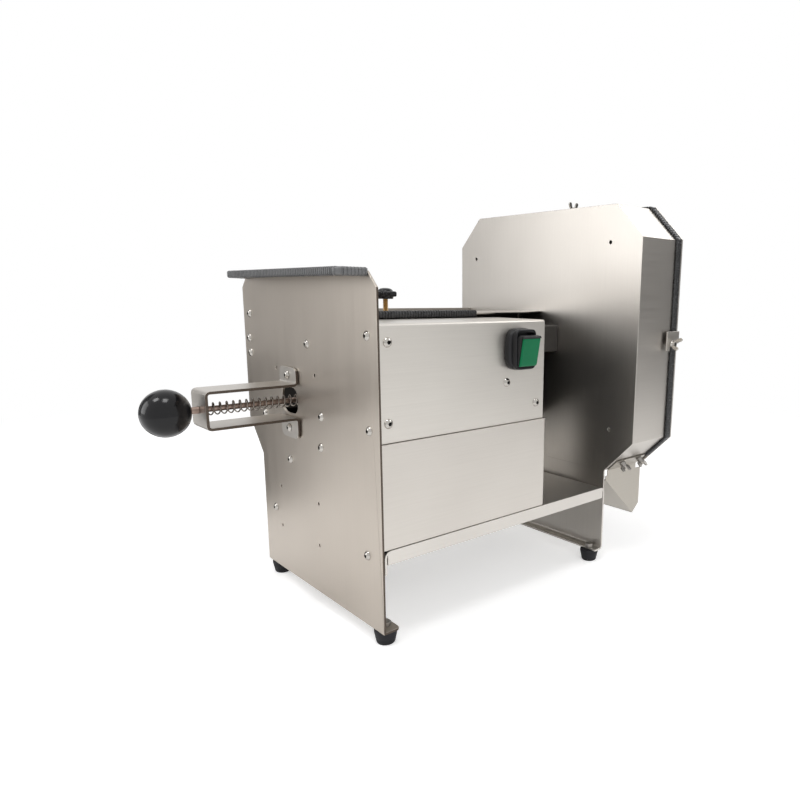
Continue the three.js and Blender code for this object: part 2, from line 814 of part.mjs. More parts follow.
// Switch body with a bulging bezel, and a frame on it that holds the rocker
function switchBezel() {
  const face = boxFront - fit;
  const rings = [[0, 0], [0.6, 0], [1, 1.6]].map(([t, inset]) => (
    barrel(bezelWidth / 2 - inset, bezelHeight / 2 - inset)
      .map(([x, z]) => new THREE.Vector3(x, face - bezelReach * t, z))
  ));
  const frame = prism("y", face - frameReach, face - 1, rounded(rectangle(
    switchX - frameWidth / 2, switchZ - frameHeight / 2,
    switchX + frameWidth / 2, switchZ + frameHeight / 2,
  ), 2.5, 2));
  const body = prism("y", face - 1, face + switchBodyDeep, rounded(rectangle(
    switchX - switchBodyWidth / 2, switchZ - switchBodyHeight / 2,
    switchX + switchBodyWidth / 2, switchZ + switchBodyHeight / 2,
  ), 2));
  const pocketHigh = rockerHeight / 2 + 1.5;
  const pocket = prism("y", face - frameReach - 1, rockerPivotY + 4, rectangle(
    switchX - rockerWidth / 2 - fit, switchZ - pocketHigh,
    switchX + rockerWidth / 2 + fit, switchZ + pocketHigh,
  ));
  return joined([lofted(rings), frame, body]).subtract(pocket);
}

const rockerPivotY = boxFront - fit - frameReach + rockerSunk;

// Outline of the bezel, whose sides bulge and whose corners are soft
function barrel(wide, high) {
  const points = [];
  for (let i = 0; i < bezelSteps; i += 1) {
    const angle = (2 * Math.PI * i) / bezelSteps;
    const [c, s] = [Math.cos(angle), Math.sin(angle)];
    const reach = (Math.abs(c) ** bezelBulge + Math.abs(s) ** bezelBulge) ** (-1 / bezelBulge);
    points.push([switchX + wide * reach * c, switchZ + high * reach * s]);
  }
  return points;
}

// A closed solid through rings of equal numbers of points
function lofted(rings) {
  const count = rings[0].length;
  const positions = [];
  rings.forEach((ring) => ring.forEach((p) => positions.push(p.x, p.y, p.z)));
  const index = [];
  for (let r = 0; r < rings.length - 1; r += 1) {
    for (let i = 0; i < count; i += 1) {
      const a = r * count + i;
      const b = r * count + ((i + 1) % count);
      index.push(a, b, a + count, b, b + count, a + count);
    }
  }
  const last = (rings.length - 1) * count;
  for (let i = 1; i < count - 1; i += 1) {
    index.push(0, i + 1, i);
    index.push(last, last + i, last + i + 1);
  }
  const geometry = new THREE.BufferGeometry();
  geometry.setAttribute("position", new THREE.Float32BufferAttribute(positions, 3));
  geometry.setIndex(index);
  return toSolid(geometry);
}

// Rocker, tilted to the side where its top stands out
function rocker() {
  const half = rockerHeight / 2;
  const edge = rockerReach - rockerDip;
  const section = [
    [edge, half], [rockerSunk, half], [-2, half * 0.45], [-2, -half * 0.45],
    [rockerSunk, -half], [edge, -half], [rockerReach, 1.6 - half], [rockerReach, half - 1.6],
  ];
  const angle = (rockerTilt * Math.PI) / 180;
  const placed = section.map(([reach, rise]) => [
    rockerPivotY - (reach * Math.cos(angle) + rise * Math.sin(angle)),
    switchZ + rise * Math.cos(angle) - reach * Math.sin(angle),
  ]);
  return prism("x", switchX - rockerWidth / 2, switchX + rockerWidth / 2, placed);
}

// Bearing block between the box and the housing, bored for the shaft and two bearings
function bearingBlock() {
  const far = 2 * shaftY - blockNear;
  const solid = prism("x", blockLeft, blockRight, rounded(rectangle(
    blockNear, shaftZ - blockHeight / 2, far, shaftZ + blockHeight / 2,
  ), 1.5, 1));
  const pocket = bearingWide + fit;
  const deep = blockBoltLong + 2;
  const tools = [
    bar("x", blockLeft - 1, blockRight + 1, shaftY, shaftZ, bearingRadius - 2, 16),
    bar("x", blockLeft - 1, blockLeft + pocket, shaftY, shaftZ, bearingRadius + fit, 16),
    bar("x", blockRight - pocket, blockRight + 1, shaftY, shaftZ, bearingRadius + fit, 16),
    ...blockBoltPlaces().map(([y, z]) => bar("x", blockLeft - 1, blockLeft + deep, y, z, boltRadius + fit)),
    ...blockBoltPlaces().map(([y, z]) => bar("x", blockRight - deep, blockRight + 1, y, z, boltRadius + fit)),
  ];
  return cut(solid, tools);
}

const blockLeft = boxEnd + fit;
const blockRight = housingX - fit;

function bearing(from) {
  const ring = circle(shaftY, shaftZ, bearingRadius, 16);
  const bore = circle(shaftY, shaftZ, shaftRadius + fit, 12);
  const solid = prism("x", from, from + bearingWide, ring, [bore]);
  const seal = (x0, x1) => prism("x", x0, x1, circle(shaftY, shaftZ, bearingRadius - 1.8, 12),
    [circle(shaftY, shaftZ, shaftRadius + 2, 12)]);
  return cut(solid, [seal(from - 1, from + 0.5), seal(from + bearingWide - 0.5, from + bearingWide + 1)]);
}

function knifeShaft() {
  const profile = [
    [0, 0], [shaftRadius, 0], [shaftRadius, discX - fit - shaftLeft],
    [shaftEndRadius, discX - fit - shaftLeft],
    [shaftEndRadius, discX + discThick + shaftEndLong - shaftLeft],
    [0, discX + discThick + shaftEndLong - shaftLeft],
  ];
  return turned(profile, [shaftLeft, shaftY, shaftZ], right, 16);
}

function pulley(y, z, radius, bore) {
  const rim = radius + pulleyRim;
  const profile = [
    [bore, 0], [rim, 0], [rim, pulleyFlange], [radius, pulleyFlange + 0.6],
    [radius, pulleyWide - pulleyFlange - 0.6], [rim, pulleyWide - pulleyFlange],
    [rim, pulleyWide], [bore, pulleyWide], [bore, 0],
  ];
  return turned(profile, [pulleyLeft, y, z], right, 16);
}

// Belt: a loop round both pulleys, with straight runs between its tangent points
function belt() {
  const apart = Math.hypot(shaftY - motorY, shaftZ - motorZ);
  const lean = Math.atan2(shaftZ - motorZ, shaftY - motorY);
  const loop = (extra) => {
    const big = drivenRadius + extra;
    const small = driverRadius + extra;
    const open = Math.acos((big - small) / apart);
    const points = [];
    const steps = 12;
    for (let i = 0; i <= steps; i += 1) {
      const angle = lean + Math.PI - open - ((2 * Math.PI - 2 * open) * i) / steps;
      points.push([shaftY + big * Math.cos(angle), shaftZ + big * Math.sin(angle)]);
    }
    for (let i = 0; i <= steps; i += 1) {
      const angle = lean + Math.PI + open - (2 * open * i) / steps;
      points.push([motorY + small * Math.cos(angle), motorZ + small * Math.sin(angle)]);
    }
    return points;
  };
  const from = pulleyLeft + pulleyFlange + 1;
  const to = pulleyLeft + pulleyWide - pulleyFlange - 1;
  return prism("x", from, to, loop(fit + beltThick), [loop(fit)]);
}

// Motor: a barrel between two end bells, with a bore for its shaft
function motorBody() {
  const bell = 16;
  const barrel = motorRadius - 2.5;
  const bore = motorShaftRadius + fit;
  const profile = [
    [0, 0], [motorRadius - 6, 0], [motorRadius, 6], [motorRadius, bell], [barrel, bell],
    [barrel, motorLong - bell], [motorRadius, motorLong - bell], [motorRadius, motorLong],
    [motorPilot, motorLong], [motorPilot, motorLong + motorSeatSheet], [bore, motorLong + motorSeatSheet],
    [bore, motorLong - motorBoreDeep], [0, motorLong - motorBoreDeep],
  ];
  const holes = motorBolts().map(
    ([y, z]) => bar("x", motorFace - 10, motorFace + 10, y, z, boltRadius + fit),
  );
  return cut(turned(profile, [motorLeft, motorY, motorZ], right, 20), holes);
}

function motorBolts() {
  return [45, 135, 225, 315].map((degrees) => {
    const angle = (degrees * Math.PI) / 180;
    return [motorY + motorBoltCircle * Math.cos(angle), motorZ + motorBoltCircle * Math.sin(angle)];
  });
}

const motorFace = motorLeft + motorLong;

function motorShaft() {
  const from = motorFace - motorBoreDeep + 2;
  return bar("x", from, pulleyLeft + pulleyWide + 3, motorY, motorZ, motorShaftRadius, 14);
}

// Motor bracket: an angle with the motor on its upright and its foot on the base
function motorBracket() {
  const thick = motorSeatSheet;
  const half = thick / 2;
  const upright = motorFace + fit + half;
  const low = baseTop + fit + half;
  const path = [[motorFace - motorSeatFoot, low], [upright, low], [upright, motorZ + motorSeatHalf]];
  const angle = prism("y", motorY - motorSeatHalf, motorY + motorSeatHalf, folded(path, thick, 4));
  const pilot = bar("x", motorFace - 1, motorFace + 8, motorY, motorZ, motorPilot + fit, 20);
  const bolts = [
    ...motorBolts().map(([y, z]) => hexBolt([motorFace + fit + thick, y, z], right, 9)),
    ...motorFootBolts().map(([x, y]) => hexBolt([x, y, baseTop + fit + thick], up, 8)),
  ];
  return joined([angle.subtract(pilot), ...bolts]);
}

// Disc that carries the knives, with a slot behind each cutting edge
function knifeSweep(turn, inner, outer, lead, width) {
  const inside = [];
  const outside = [];
  const steps = 10;
  for (let i = 0; i <= steps; i += 1) {
    const t = i / steps;
    const radius = inner + (outer - inner) * t;
    const angle = turn + knifeCurl * t * t;
    const side = width / radius;
    const edge = angle + lead / radius;
    inside.push([shaftY + radius * Math.cos(edge), shaftZ + radius * Math.sin(edge)]);
    outside.push([shaftY + radius * Math.cos(edge + side), shaftZ + radius * Math.sin(edge + side)]);
  }
  return inside.concat(outside.reverse());
}

const knifeOuter = discRadius - knifeRim;
const firstKnifeTurn = 0.4;
const knifeTurns = () => Array.from(
  { length: knifeCount }, (_, i) => firstKnifeTurn + (2 * Math.PI * i) / knifeCount,
);

function knifeHoles(turn) {
  return [0.2, 0.5, 0.8].map((t) => {
    const radius = knifeInner + (knifeOuter - knifeInner) * t;
    const angle = turn + knifeCurl * t * t + (knifeLead + knifeWide * 0.65) / radius;
    return [shaftY + radius * Math.cos(angle), shaftZ + radius * Math.sin(angle)];
  });
}

function knifeDisc() {
  const lead = knifeLead - 2 - knifeSlotWide;
  const slots = knifeTurns().map((turn) => (
    knifeSweep(turn, knifeInner + 6, knifeOuter - 4, lead, knifeSlotWide)
  ));
  const bossEnd = discX + discThick + discBossHigh;
  const solid = prism("x", discX, discX + discThick, circle(shaftY, shaftZ, discRadius, 48), slots);
  const boss = bar("x", discX + discThick - 1, bossEnd, shaftY, shaftZ, discBoss, 16);
  const tools = [bar("x", discX - 1, bossEnd + 3, shaftY, shaftZ, shaftEndRadius + fit, 16)];
  knifeTurns().forEach((turn) => knifeHoles(turn).forEach(([y, z]) => {
    tools.push(bar("x", discX - 1, discX + discThick + 1, y, z, screwRadius + fit, 8));
  }));
  return cut(solid.add(boss), tools);
}

// Each knife is a curved blade with a ground edge, lifted off the disc by its seat
function knife(turn) {
  const blade = prism("x", knifeX, knifeX + knifeThick,
    knifeSweep(turn, knifeInner, knifeOuter, knifeLead, knifeWide));
  const seat = prism("x", knifeX + knifeThick - 0.5, discX - fit,
    knifeSweep(turn, knifeInner + 2, knifeOuter - 2, knifeLead + knifeSeatLead, knifeWide - knifeSeatTrim));
  const screwProfile = [
    [0, -knifeScrewLong], [screwRadius, -knifeScrewLong], [screwRadius, 0], [knifeScrewHead, 0],
    [knifeScrewHead * 0.875, knifeScrewHeadHigh], [0, knifeScrewHeadHigh],
  ];
  const screws = knifeHoles(turn).map(([y, z]) => turned(screwProfile, [knifeX, y, z], left, 8));
  return joined([blade, seat, ...screws]);
}

// Housing: the back plate with its tongue, and walls folded forward round seven sides
function knifeHousing() {
  const wall = plateSheet;
  const tub = prism("x", housingX, housingX + housingDeep, octagon(0))
    .subtract(prism("x", housingX + wall, housingX + housingDeep + 1, octagon(-wall)));
  const tongue = prism("x", housingX + fit, housingX + wall, rectangle(
    chuteNear + 0.2, tongueLow, mirrorY(chuteNear) - 0.2, housingLow + 10,
  ));
  const mouth = rounded(rectangle(channelNear, channelFloor, channelFar, troughStepLow + 1), 3, 2);
  const tools = [
    block(housingX + wall, housingX + housingDeep + 1, chuteNear, mirrorY(chuteNear),
      housingLow - 1, housingLow + wall + 0.5),
    prism("x", housingX - 1, housingX + wall + 1, mouth),
    bar("x", housingX - 1, housingX + wall + 1, shaftY, shaftZ, shaftRadius + 2, 20),
    ...faceHoles.map(([y, z]) => bar("x", housingX - 1, housingX + 4, y, z, faceHoleRadius, 10)),
    ...tongueBolts().map(([y, z]) => bar("x", housingX - 1, housingX + 4, y, z, boltRadius + fit)),
    ...troughScrews().map(([y, z]) => bar("x", housingX - 1, housingX + 4, y, z, screwRadius + fit)),
  ];
  const bolts = blockBoltPlaces().map(([y, z]) => (
    turned([[0, -blockBoltLong], [boltRadius, -blockBoltLong], [boltRadius, -0.5], [0, -0.5]],
      [housingX + wall, y, z], right)
  ));
  return joined([cut(tub.add(tongue), tools), ...bolts, ...chuteStuds()]);
}

const troughScrews = () => [
  [farWall + 8, slopeTop + 15], [farWall + 8, troughTop - 14],
  [channelNear + 14, channelFloor - 11], [channelFar - 14.5, channelFloor - 11],
];

// Studs welded to the sloping walls, for the chute's wing nuts
const slopeOut = new THREE.Vector3(0, -Math.SQRT1_2, -Math.SQRT1_2);
function studFoot(x, side) {
  const y = chuteNear - chuteNutUp * Math.SQRT1_2;
  const z = housingLow + chuteNutUp * Math.SQRT1_2;
  return [x, side > 0 ? y : mirrorY(y), z];
}

function slopeDirection(side) {
  return new THREE.Vector3(0, slopeOut.y * side, slopeOut.z);
}

function chuteStuds() {
  const studs = [];
  chuteNutX.forEach((x) => [1, -1].forEach((side) => {
    const profile = [[0, -1], [studRadius, -1], [studRadius, 10], [0, 10]];
    studs.push(turned(profile, studFoot(x, side), slopeDirection(side)));
  }));
  return studs;
}

// Rubber strip on the housing's rim, open where the chute hangs
function housingStrip() {
  const end = housingX + housingDeep;
  const outer = prism("x", stripX, end + stripWall - 0.2, octagon(stripProud));
  const inner = prism("x", stripX - 1, end + stripWall + 1, octagon(-plateSheet - stripProud));
  const slot = prism("x", stripX - 1, end + fit, octagon(fit / 2))
    .subtract(prism("x", stripX - 2, end + fit + 1, octagon(-plateSheet - fit / 2)));
  const open = block(stripX - 1, end + 5, housingNear - 5, mirrorY(housingNear) + 5,
    housingLow - 5, housingLow + stripEndUp);
  return cut(outer, [inner, slot, open]);
}

// Cover: a plate over the open side, with three tabs over the rim. The side tabs are notched below their
// screws, so that the cover hooks on.
function housingCover() {
  const plate = prism("x", coverX, coverX + coverThick, octagon(stripProud));
  const thick = coverThick;
  const stand = clipStand;
  const tab = (from, to) => block(coverX + coverThick - clipReach, coverX + coverThick, ...from, ...to);
  const low = clipZ - clipWide / 2;
  const high = clipZ + clipWide / 2;
  const nearTab = tab([housingNear - stand - thick, housingNear - stand], [low, high]);
  const nearStem = block(coverX, coverX + thick, housingNear - stand - thick, housingNear, low, high);
  const farTab = tab([mirrorY(housingNear) + stand, mirrorY(housingNear) + stand + thick], [low, high]);
  const farWallY = mirrorY(housingNear);
  const farStem = block(coverX, coverX + thick, farWallY, farWallY + stand + thick, low, high);
  const y0 = housingY - clipWide / 2;
  const y1 = housingY + clipWide / 2;
  const topTab = tab([y0, y1], [housingTop + stand, housingTop + stand + thick]);
  const topStem = block(coverX, coverX + thick, y0, y1, housingTop, housingTop + stand + thick);
  const chuteRoom = block(coverX - 1, coverX + thick + 1, chuteNear, mirrorY(chuteNear),
    housingLow - 5, housingLow);
  const holes = clipScrews().map(({ at, direction }) => turned(
    [[0, -6], [clipScrewRadius + fit, -6], [clipScrewRadius + fit, 6], [0, 6]], at, direction,
  ));
  const notch = (from, to) => block(coverX - clipScrewBack - clipScrewRadius - fit, coverX + thick + 1,
    from, to, low - 1, clipZ - clipScrewDrop);
  const notches = [
    notch(housingNear - stand - thick - 1, housingNear - stripProud),
    notch(farWallY + stripProud, farWallY + stand + thick + 1),
  ];
  const tabs = [nearTab, nearStem, farTab, farStem, topTab, topStem];
  return cut(joined([plate, ...tabs]), [chuteRoom, ...notches, ...holes]);
}

function clipScrews() {
  const out = clipStand + coverThick;
  const x = coverX - clipScrewBack;
  return [
    { name: "near", at: [x, housingNear - out, clipZ - clipScrewDrop], direction: front },
    { name: "top", at: [x, housingY, housingTop + out], direction: up },
    { name: "far", at: [x, mirrorY(housingNear) + out, clipZ - clipScrewDrop], direction: back },
  ];
}

// A thumb piece with two wings; its hub starts at the point, its shank or bore runs the other way
function winged(at, direction, span, stem, shank, bore) {
  const lathe = (profile) => toSolid(new THREE.LatheGeometry(
    profile.map((p) => new THREE.Vector2(...p)), roundSides,
  ));
  const pieces = [lathe([[0, fit], [wingHub, fit], [wingHub - 0.8, wingHubHigh], [0, wingHubHigh]])];
  const tip = span / 2;
  const wing = rounded([
    [0, 1.2], [wingHub - 1.2, 1.2], [tip, wingHigh / 2], [tip - 0.6, wingHigh], [tip - 3.6, wingHigh - 0.5],
    [1.6, wingHubHigh - 0.4], [0, wingHubHigh - 0.4],
  ], [0, 0, 0, 1.6, 1.6, 0, 0], 2);
  [1, -1].forEach((side) => {
    const outline = side > 0 ? wing : wing.map(([u, v]) => [-u, v]).reverse();
    const geometry = new THREE.ExtrudeGeometry(flat(outline), { depth: wingThick, bevelEnabled: false });
    geometry.translate(0, 0, -wingThick / 2);
    pieces.push(toSolid(geometry));
  });
  if (shank) {
    pieces.push(lathe([[0, -shank], [stem, -shank], [stem, 2], [0, 2]]));
  }
  let whole = joined(pieces);
  if (bore) {
    whole = whole.subtract(lathe([[0, -1], [bore, -1], [bore, 8], [0, 8]]));
  }
  const geometry = toGeometry(whole);
  geometry.applyQuaternion(new THREE.Quaternion().setFromUnitVectors(back, direction));
  geometry.translate(...at);
  return geometry;
}

// Chute: cheeks that hang from the sloping walls, and a slide between them
function chute() {
  const half = coverSheet / 2;
  const inset = (fit + half) * (Math.SQRT2 - 1) + 0.25;
  const cheekY = chuteNear - inset;
  const cornerZ = housingLow - (fit + half) * Math.SQRT2 + (fit + half) * (Math.SQRT2 - 1) + 0.25;
  const rise = chuteHang * Math.SQRT1_2;
  const startX = housingX + plateSheet + fit;
  const hangPath = [[cheekY - rise, cornerZ + rise], [cheekY, cornerZ], [cheekY, cornerZ - 12]];
  const hang = folded(hangPath, coverSheet, 1.6);
  const cheek = [
    [startX, cornerZ - 6], [startX, chuteHeelZ], [chuteLowX, chuteLowZ],
    [chuteEnd, chuteToeZ], [chuteEnd, cornerZ - 6],
  ];
  const slide = folded([[startX + 0.6, chuteHeelZ], [chuteLowX, chuteLowZ + 0.6]], coverSheet);
  const parts = [
    prism("x", startX + 3, stripX - 1, hang),
    prism("x", startX + 3, stripX - 1, mirrored(hang)),
    prism("y", cheekY - half, cheekY + half, cheek),
    prism("y", mirrorY(cheekY) - half, mirrorY(cheekY) + half, cheek),
    prism("y", cheekY - half, mirrorY(cheekY) + half, slide),
  ];
  const holes = [];
  chuteNutX.forEach((x) => [1, -1].forEach((side) => {
    const bore = studRadius + fit;
    holes.push(turned([[0, -4], [bore, -4], [bore, 8], [0, 8]], studFoot(x, side), slopeDirection(side)));
  }));
  return cut(joined(parts), holes);
}

// Trough: deck, walls, slope and channel from one folded sheet, with end flanges
function trough() {
  const half = troughSheet / 2;
  const leftX = plateSheet + fit;
  const rightX = housingX - fit;
  const path = [
    [deckNear, deckTop - half], [wallNear + half, deckTop - half], [wallNear + half, troughStepTop],
    [channelNear - half, troughStepLow], [channelNear - half, channelFloor - half],
    [channelFar + half, channelFloor - half], [channelFar + half, slopeLow],
    [farWall + half, slopeTop], [farWall + half, troughTop],
  ];
  const sheet = prism("x", leftX, rightX, folded(path, troughSheet, 2, 2));
  const endFlange = (points) => prism("x", leftX, leftX + troughSheet, rounded(points, 3, 1));
  const farFlange = (points) => prism("x", rightX - troughSheet, rightX, rounded(points, 3, 1));
  const pieces = [
    sheet,
    endFlange(rectangle(deckFlangeNear, deckFlangeLow, wallNear - 1, deckTop - half)),
    endFlange(rectangle(channelFlangeNear, channelFlangeLow, channelNear - half, channelFlangeHigh)),
    endFlange(rectangle(channelNear + 13, floorFlangeLow, channelFar - 4.5, channelFloor - half)),
    endFlange([
      [channelFar + half, channelFlangeLow], [slopeFlangeFar, channelFlangeLow],
      [slopeFlangeFar, slopeFlangeHigh], [channelFar + half, slopeLow - 2],
    ]),
    endFlange(rectangle(farWall + half, slopeTop + 3, plateWidth - 4, troughTop)),
    farFlange(rectangle(farWall + half, slopeTop + 6, farWall + 15, troughTop - 6)),
    farFlange(rectangle(channelNear + 4, floorFlangeLow, channelFar - 6.5, channelFloor - half)),
  ];
  const corner = prism("z", deckTop - 4, deckTop + 1, [
    [deckCutX, deckNear - 1], [rightX + 1, deckNear - 1], [rightX + 1, deckCutY],
  ]);
  const holes = [
    ...troughPlateScrews().map(([y, z]) => bar("x", 0, 8, y, z, screwRadius + fit)),
    bar("z", deckTop - 4, deckTop + 1, starX, starY, starStudRadius + fit),
  ];
  const screws = troughScrews().map(([y, z]) => buttonScrew([rightX - troughSheet, y, z], left, 4));
  return joined([cut(joined(pieces), [corner, ...holes]), ...screws]);
}

const troughPlateScrews = () => plateScrews.filter(([y, z]) => z > baseTop && !(y < boxFront + coverFlange));

// Rubber strip on the deck's front edge
function deckStrip() {
  const middle = deckTop - troughSheet / 2;
  const outer = prism("x", plateSheet + fit, stripEnd, rounded(rectangle(
    deckNear - stripWall, middle - stripThick / 2, deckNear - stripWall + stripDeep, middle + stripThick / 2,
  ), 1.2, 1));
  return outer.subtract(block(0, stripEnd + 1, deckNear - fit / 2, deckNear + stripDeep,
    deckTop - troughSheet - fit / 2, deckTop + fit / 2));
}

// Star knob: six lobes under a low dome, on a hub
function starKnob() {
  const lobes = 6;
  const outline = [];
  for (let i = 0; i < lobes * 6; i += 1) {
    const angle = (2 * Math.PI * i) / (lobes * 6);
    const radius = starRadius - 1.5 + 1.5 * Math.cos(lobes * angle);
    outline.push([starX + radius * Math.cos(angle), starY + radius * Math.sin(angle)]);
  }
  const crown = prism("z", starTop - 8, starTop - 3, outline);
  const domeHigh = starTop - starHubLow;
  const bodyProfile = [
    [0, 0], [starHubRadius, 0], [starHubRadius, domeHigh - 4], [starHubRadius + 1.4, domeHigh - 2.9],
    [5, domeHigh - 0.8], [0, domeHigh],
  ];
  const hub = turned(bodyProfile, [starX, starY, starHubLow], up, 16);
  const bore = bar("z", starHubLow - 1, starHubLow + 6, starX, starY, starStudRadius + fit);
  return crown.add(hub).subtract(bore);
}

// Feet with their screws
function foot(x, y) {
  const bore = boltRadius + fit;
  const low = -footHeight;
  const profile = [
    [0, low], [footLowRadius - 0.7, low], [footLowRadius, low + 1], [footTopRadius, -3],
    [footTopRadius, -fit], [bore, -fit], [bore, -footScrewDeep - fit], [0, -footScrewDeep - fit],
  ];
  return turned(profile, [x, y, 0], up, 12);
}

function footPlaces() {
  return footYs().flatMap((y) => [[leftFootX, y], [rightFootX, y]]);
}

// Cable gland in the back wall
function cordGland() {
  const mouth = glandBore + 0.8;
  const profile = [
    [glandBore, -glandTail], [glandThread, -glandTail], [glandThread, fit], [glandFlange, fit],
    [glandFlange, 5], [glandCap, 5.6], [glandCap, glandLong - 5], [glandCap - 1.8, glandLong - 1],
    [mouth, glandLong], [mouth, 8], [glandBore, 7], [glandBore, -glandTail],
  ];
  return turned(profile, [glandX, lowerBack, glandZ], back, 12);
}

addPiece("side_plate", sidePlate(), sheetSteel);
addPiece("side_plate_strip", plateStrip(), blackRubber);
addPiece("guide_bracket", bracket(), sheetSteel);
bracketScrewZ.forEach((z, i) => {
  const screw = buttonScrew([-bracketSheet - fit, rodY, z], left, plateScrewLong, fit);
  addPiece(`bracket_screw_${i + 1}`, screw, darkSteel);
});

addPiece("ball_knob", ballKnob(), knobPlastic);
const locknut = hexNut("x", knobFace + fit, knobGap - 2 * fit, rodY, rodZ, 9, rodRadius + fit);
addPiece("knob_locknut", locknut, darkSteel);
addPiece("pusher_rod", pusherRod(), sheetSteel);
addPiece("return_spring", returnSpring(), sheetSteel);
addPiece("pusher_head", pusherHead(), sheetSteel);

addPiece("base", base(), sheetSteel);
addPiece("lower_cover", lowerCover(), sheetSteel);
addPiece("upper_cover", upperCover(), sheetSteel);
addPiece("switch_bezel", switchBezel(), blackPlastic);
addPiece("switch_rocker", rocker(), greenPlastic);
addPiece("cord_gland", cordGland(), blackPlastic);

addPiece("bearing_block", bearingBlock(), darkSteel);
addPiece("left_bearing", bearing(blockLeft + fit / 2), knifeSteel);
addPiece("right_bearing", bearing(blockRight - bearingWide - fit / 2), knifeSteel);
addPiece("knife_shaft", knifeShaft(), knifeSteel);
addPiece("driven_pulley", pulley(shaftY, shaftZ, drivenRadius, shaftRadius + fit), darkSteel);
addPiece("drive_belt", belt(), blackRubber);
addPiece("motor_pulley", pulley(motorY, motorZ, driverRadius, motorShaftRadius + fit), darkSteel);
addPiece("motor_shaft", motorShaft(), knifeSteel);
addPiece("motor", motorBody(), motorPaint);
addPiece("motor_bracket", motorBracket(), darkSteel);

addPiece("knife_disc", knifeDisc(), knifeSteel);
knifeTurns().forEach((turn, i) => {
  addPiece(`knife_${i + 1}`, knife(turn), knifeSteel);
});
const discNutFace = discX + discThick + discBossHigh + fit;
const discNut = hexNut("x", discNutFace, discNutHigh, shaftY, shaftZ, discNutAcross, shaftEndRadius + fit);
addPiece("disc_nut", discNut, darkSteel);

addPiece("knife_housing", knifeHousing(), sheetSteel);
addPiece("housing_strip", housingStrip(), blackRubber);
addPiece("housing_cover", housingCover(), sheetSteel);
clipScrews().forEach(({ name, at, direction }) => {
  const screw = winged(at, direction, clipWingSpan, clipScrewRadius, coverThick + 0.6, 0);
  addPiece(`clip_screw_${name}`, screw, darkSteel);
});
tongueBolts().forEach(([y, z], i) => {
  addPiece(`tongue_bolt_${i + 1}`, hexBolt([housingX - plateSheet, y, z], left, 6, fit), darkSteel);
});
addPiece("chute", chute(), sheetSteel);
chuteNutX.forEach((x, i) => [1, -1].forEach((side) => {
  const foot = studFoot(x, side);
  const out = slopeDirection(side);
  const face = fit + coverSheet + fit;
  const at = foot.map((value, axis) => value + out.getComponent(axis) * face);
  const nut = winged(at, out, nutWingSpan, 0, 0, studRadius + fit);
  addPiece(`chute_nut_${side > 0 ? "near" : "far"}_${i + 1}`, nut, darkSteel);
}));

addPiece("trough", trough(), sheetSteel);
addPiece("deck_strip", deckStrip(), blackRubber);
addPiece("star_knob", starKnob(), blackPlastic);
addPiece("star_stud", bar("z", starStudLow, starHubLow + 5, starX, starY, starStudRadius), brass);
const starNut = hexNut("z", boxTop - coverSheet - fit - 4, 4, starX, starY, 9, starStudRadius + fit);
addPiece("star_nut", starNut, darkSteel);

footPlaces().forEach(([x, y], i) => {
  addPiece(`foot_${i + 1}`, foot(x, y), blackRubber);
  const screw = hexBolt([x, y, plateSheet], up, plateSheet + footScrewDeep, fit);
  addPiece(`foot_screw_${i + 1}`, screw, darkSteel);
});

// The model's own frame: under the middle of its box, on the surface that it stands on
const boxLeft = knobX - knobRadius;
const boxRight = coverX + coverThick;
model.position.set(-(boxLeft + boxRight) / 2, -housingY, footHeight);

export default model;
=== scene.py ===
# %% [markdown]
# A bench slicer for meat strips. A sprung pusher is pulled back by its ball knob, meat drops into a trough,
# and the spring drives it against a knife disc in an eight-sided housing. This notebook dresses the packed
# CAD model: it keeps every size and place, and adds rounded edges, smooth turned parts, screws and finishes.

# %% Load the frame
import json
import math

import bmesh
import bpy
from mathutils import Matrix, Quaternion, Vector
from mathutils.geometry import convex_hull_2d


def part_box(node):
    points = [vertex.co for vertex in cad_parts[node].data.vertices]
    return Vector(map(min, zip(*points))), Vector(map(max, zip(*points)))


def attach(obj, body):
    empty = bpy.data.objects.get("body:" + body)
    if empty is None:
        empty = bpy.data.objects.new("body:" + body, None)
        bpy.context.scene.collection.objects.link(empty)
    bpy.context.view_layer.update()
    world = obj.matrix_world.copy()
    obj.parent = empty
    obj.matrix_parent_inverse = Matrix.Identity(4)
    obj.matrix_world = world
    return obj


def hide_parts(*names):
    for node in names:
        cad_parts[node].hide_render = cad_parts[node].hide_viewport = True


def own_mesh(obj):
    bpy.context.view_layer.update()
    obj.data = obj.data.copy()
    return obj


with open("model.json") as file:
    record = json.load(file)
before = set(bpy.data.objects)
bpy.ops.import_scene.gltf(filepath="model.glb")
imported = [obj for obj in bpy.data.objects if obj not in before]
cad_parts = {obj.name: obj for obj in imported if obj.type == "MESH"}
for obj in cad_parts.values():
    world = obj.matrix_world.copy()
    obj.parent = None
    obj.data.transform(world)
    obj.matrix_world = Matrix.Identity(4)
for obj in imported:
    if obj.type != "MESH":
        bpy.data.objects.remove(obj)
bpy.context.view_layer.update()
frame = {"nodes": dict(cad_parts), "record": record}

MM = 0.001
nodes = frame["nodes"]
record = frame["record"]
body_of_node = {node: body for body, members in record["behaviour"]["bodies"].items() for node in members}

# %% [markdown]
# The camera stands low on the left, near the knob, and its picture is shifted: the object fills the right of
# the frame while the machine's long side still runs away from us. The lens is short, so near parts look
# large.

# %% Camera
CAMERA_OFF_PLATE = 0.24835
CAMERA_PLACE = Vector((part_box("side_plate")[0].x - CAMERA_OFF_PLATE, -0.5365, 0.2923))
CAMERA_LOOK = Vector((0.67325, 0.71451, -0.19030))
CAMERA_ROLL = math.radians(0.7136)
CAMERA_LENS = 29.557
CAMERA_SHIFT = (-0.1292, 0.0273)

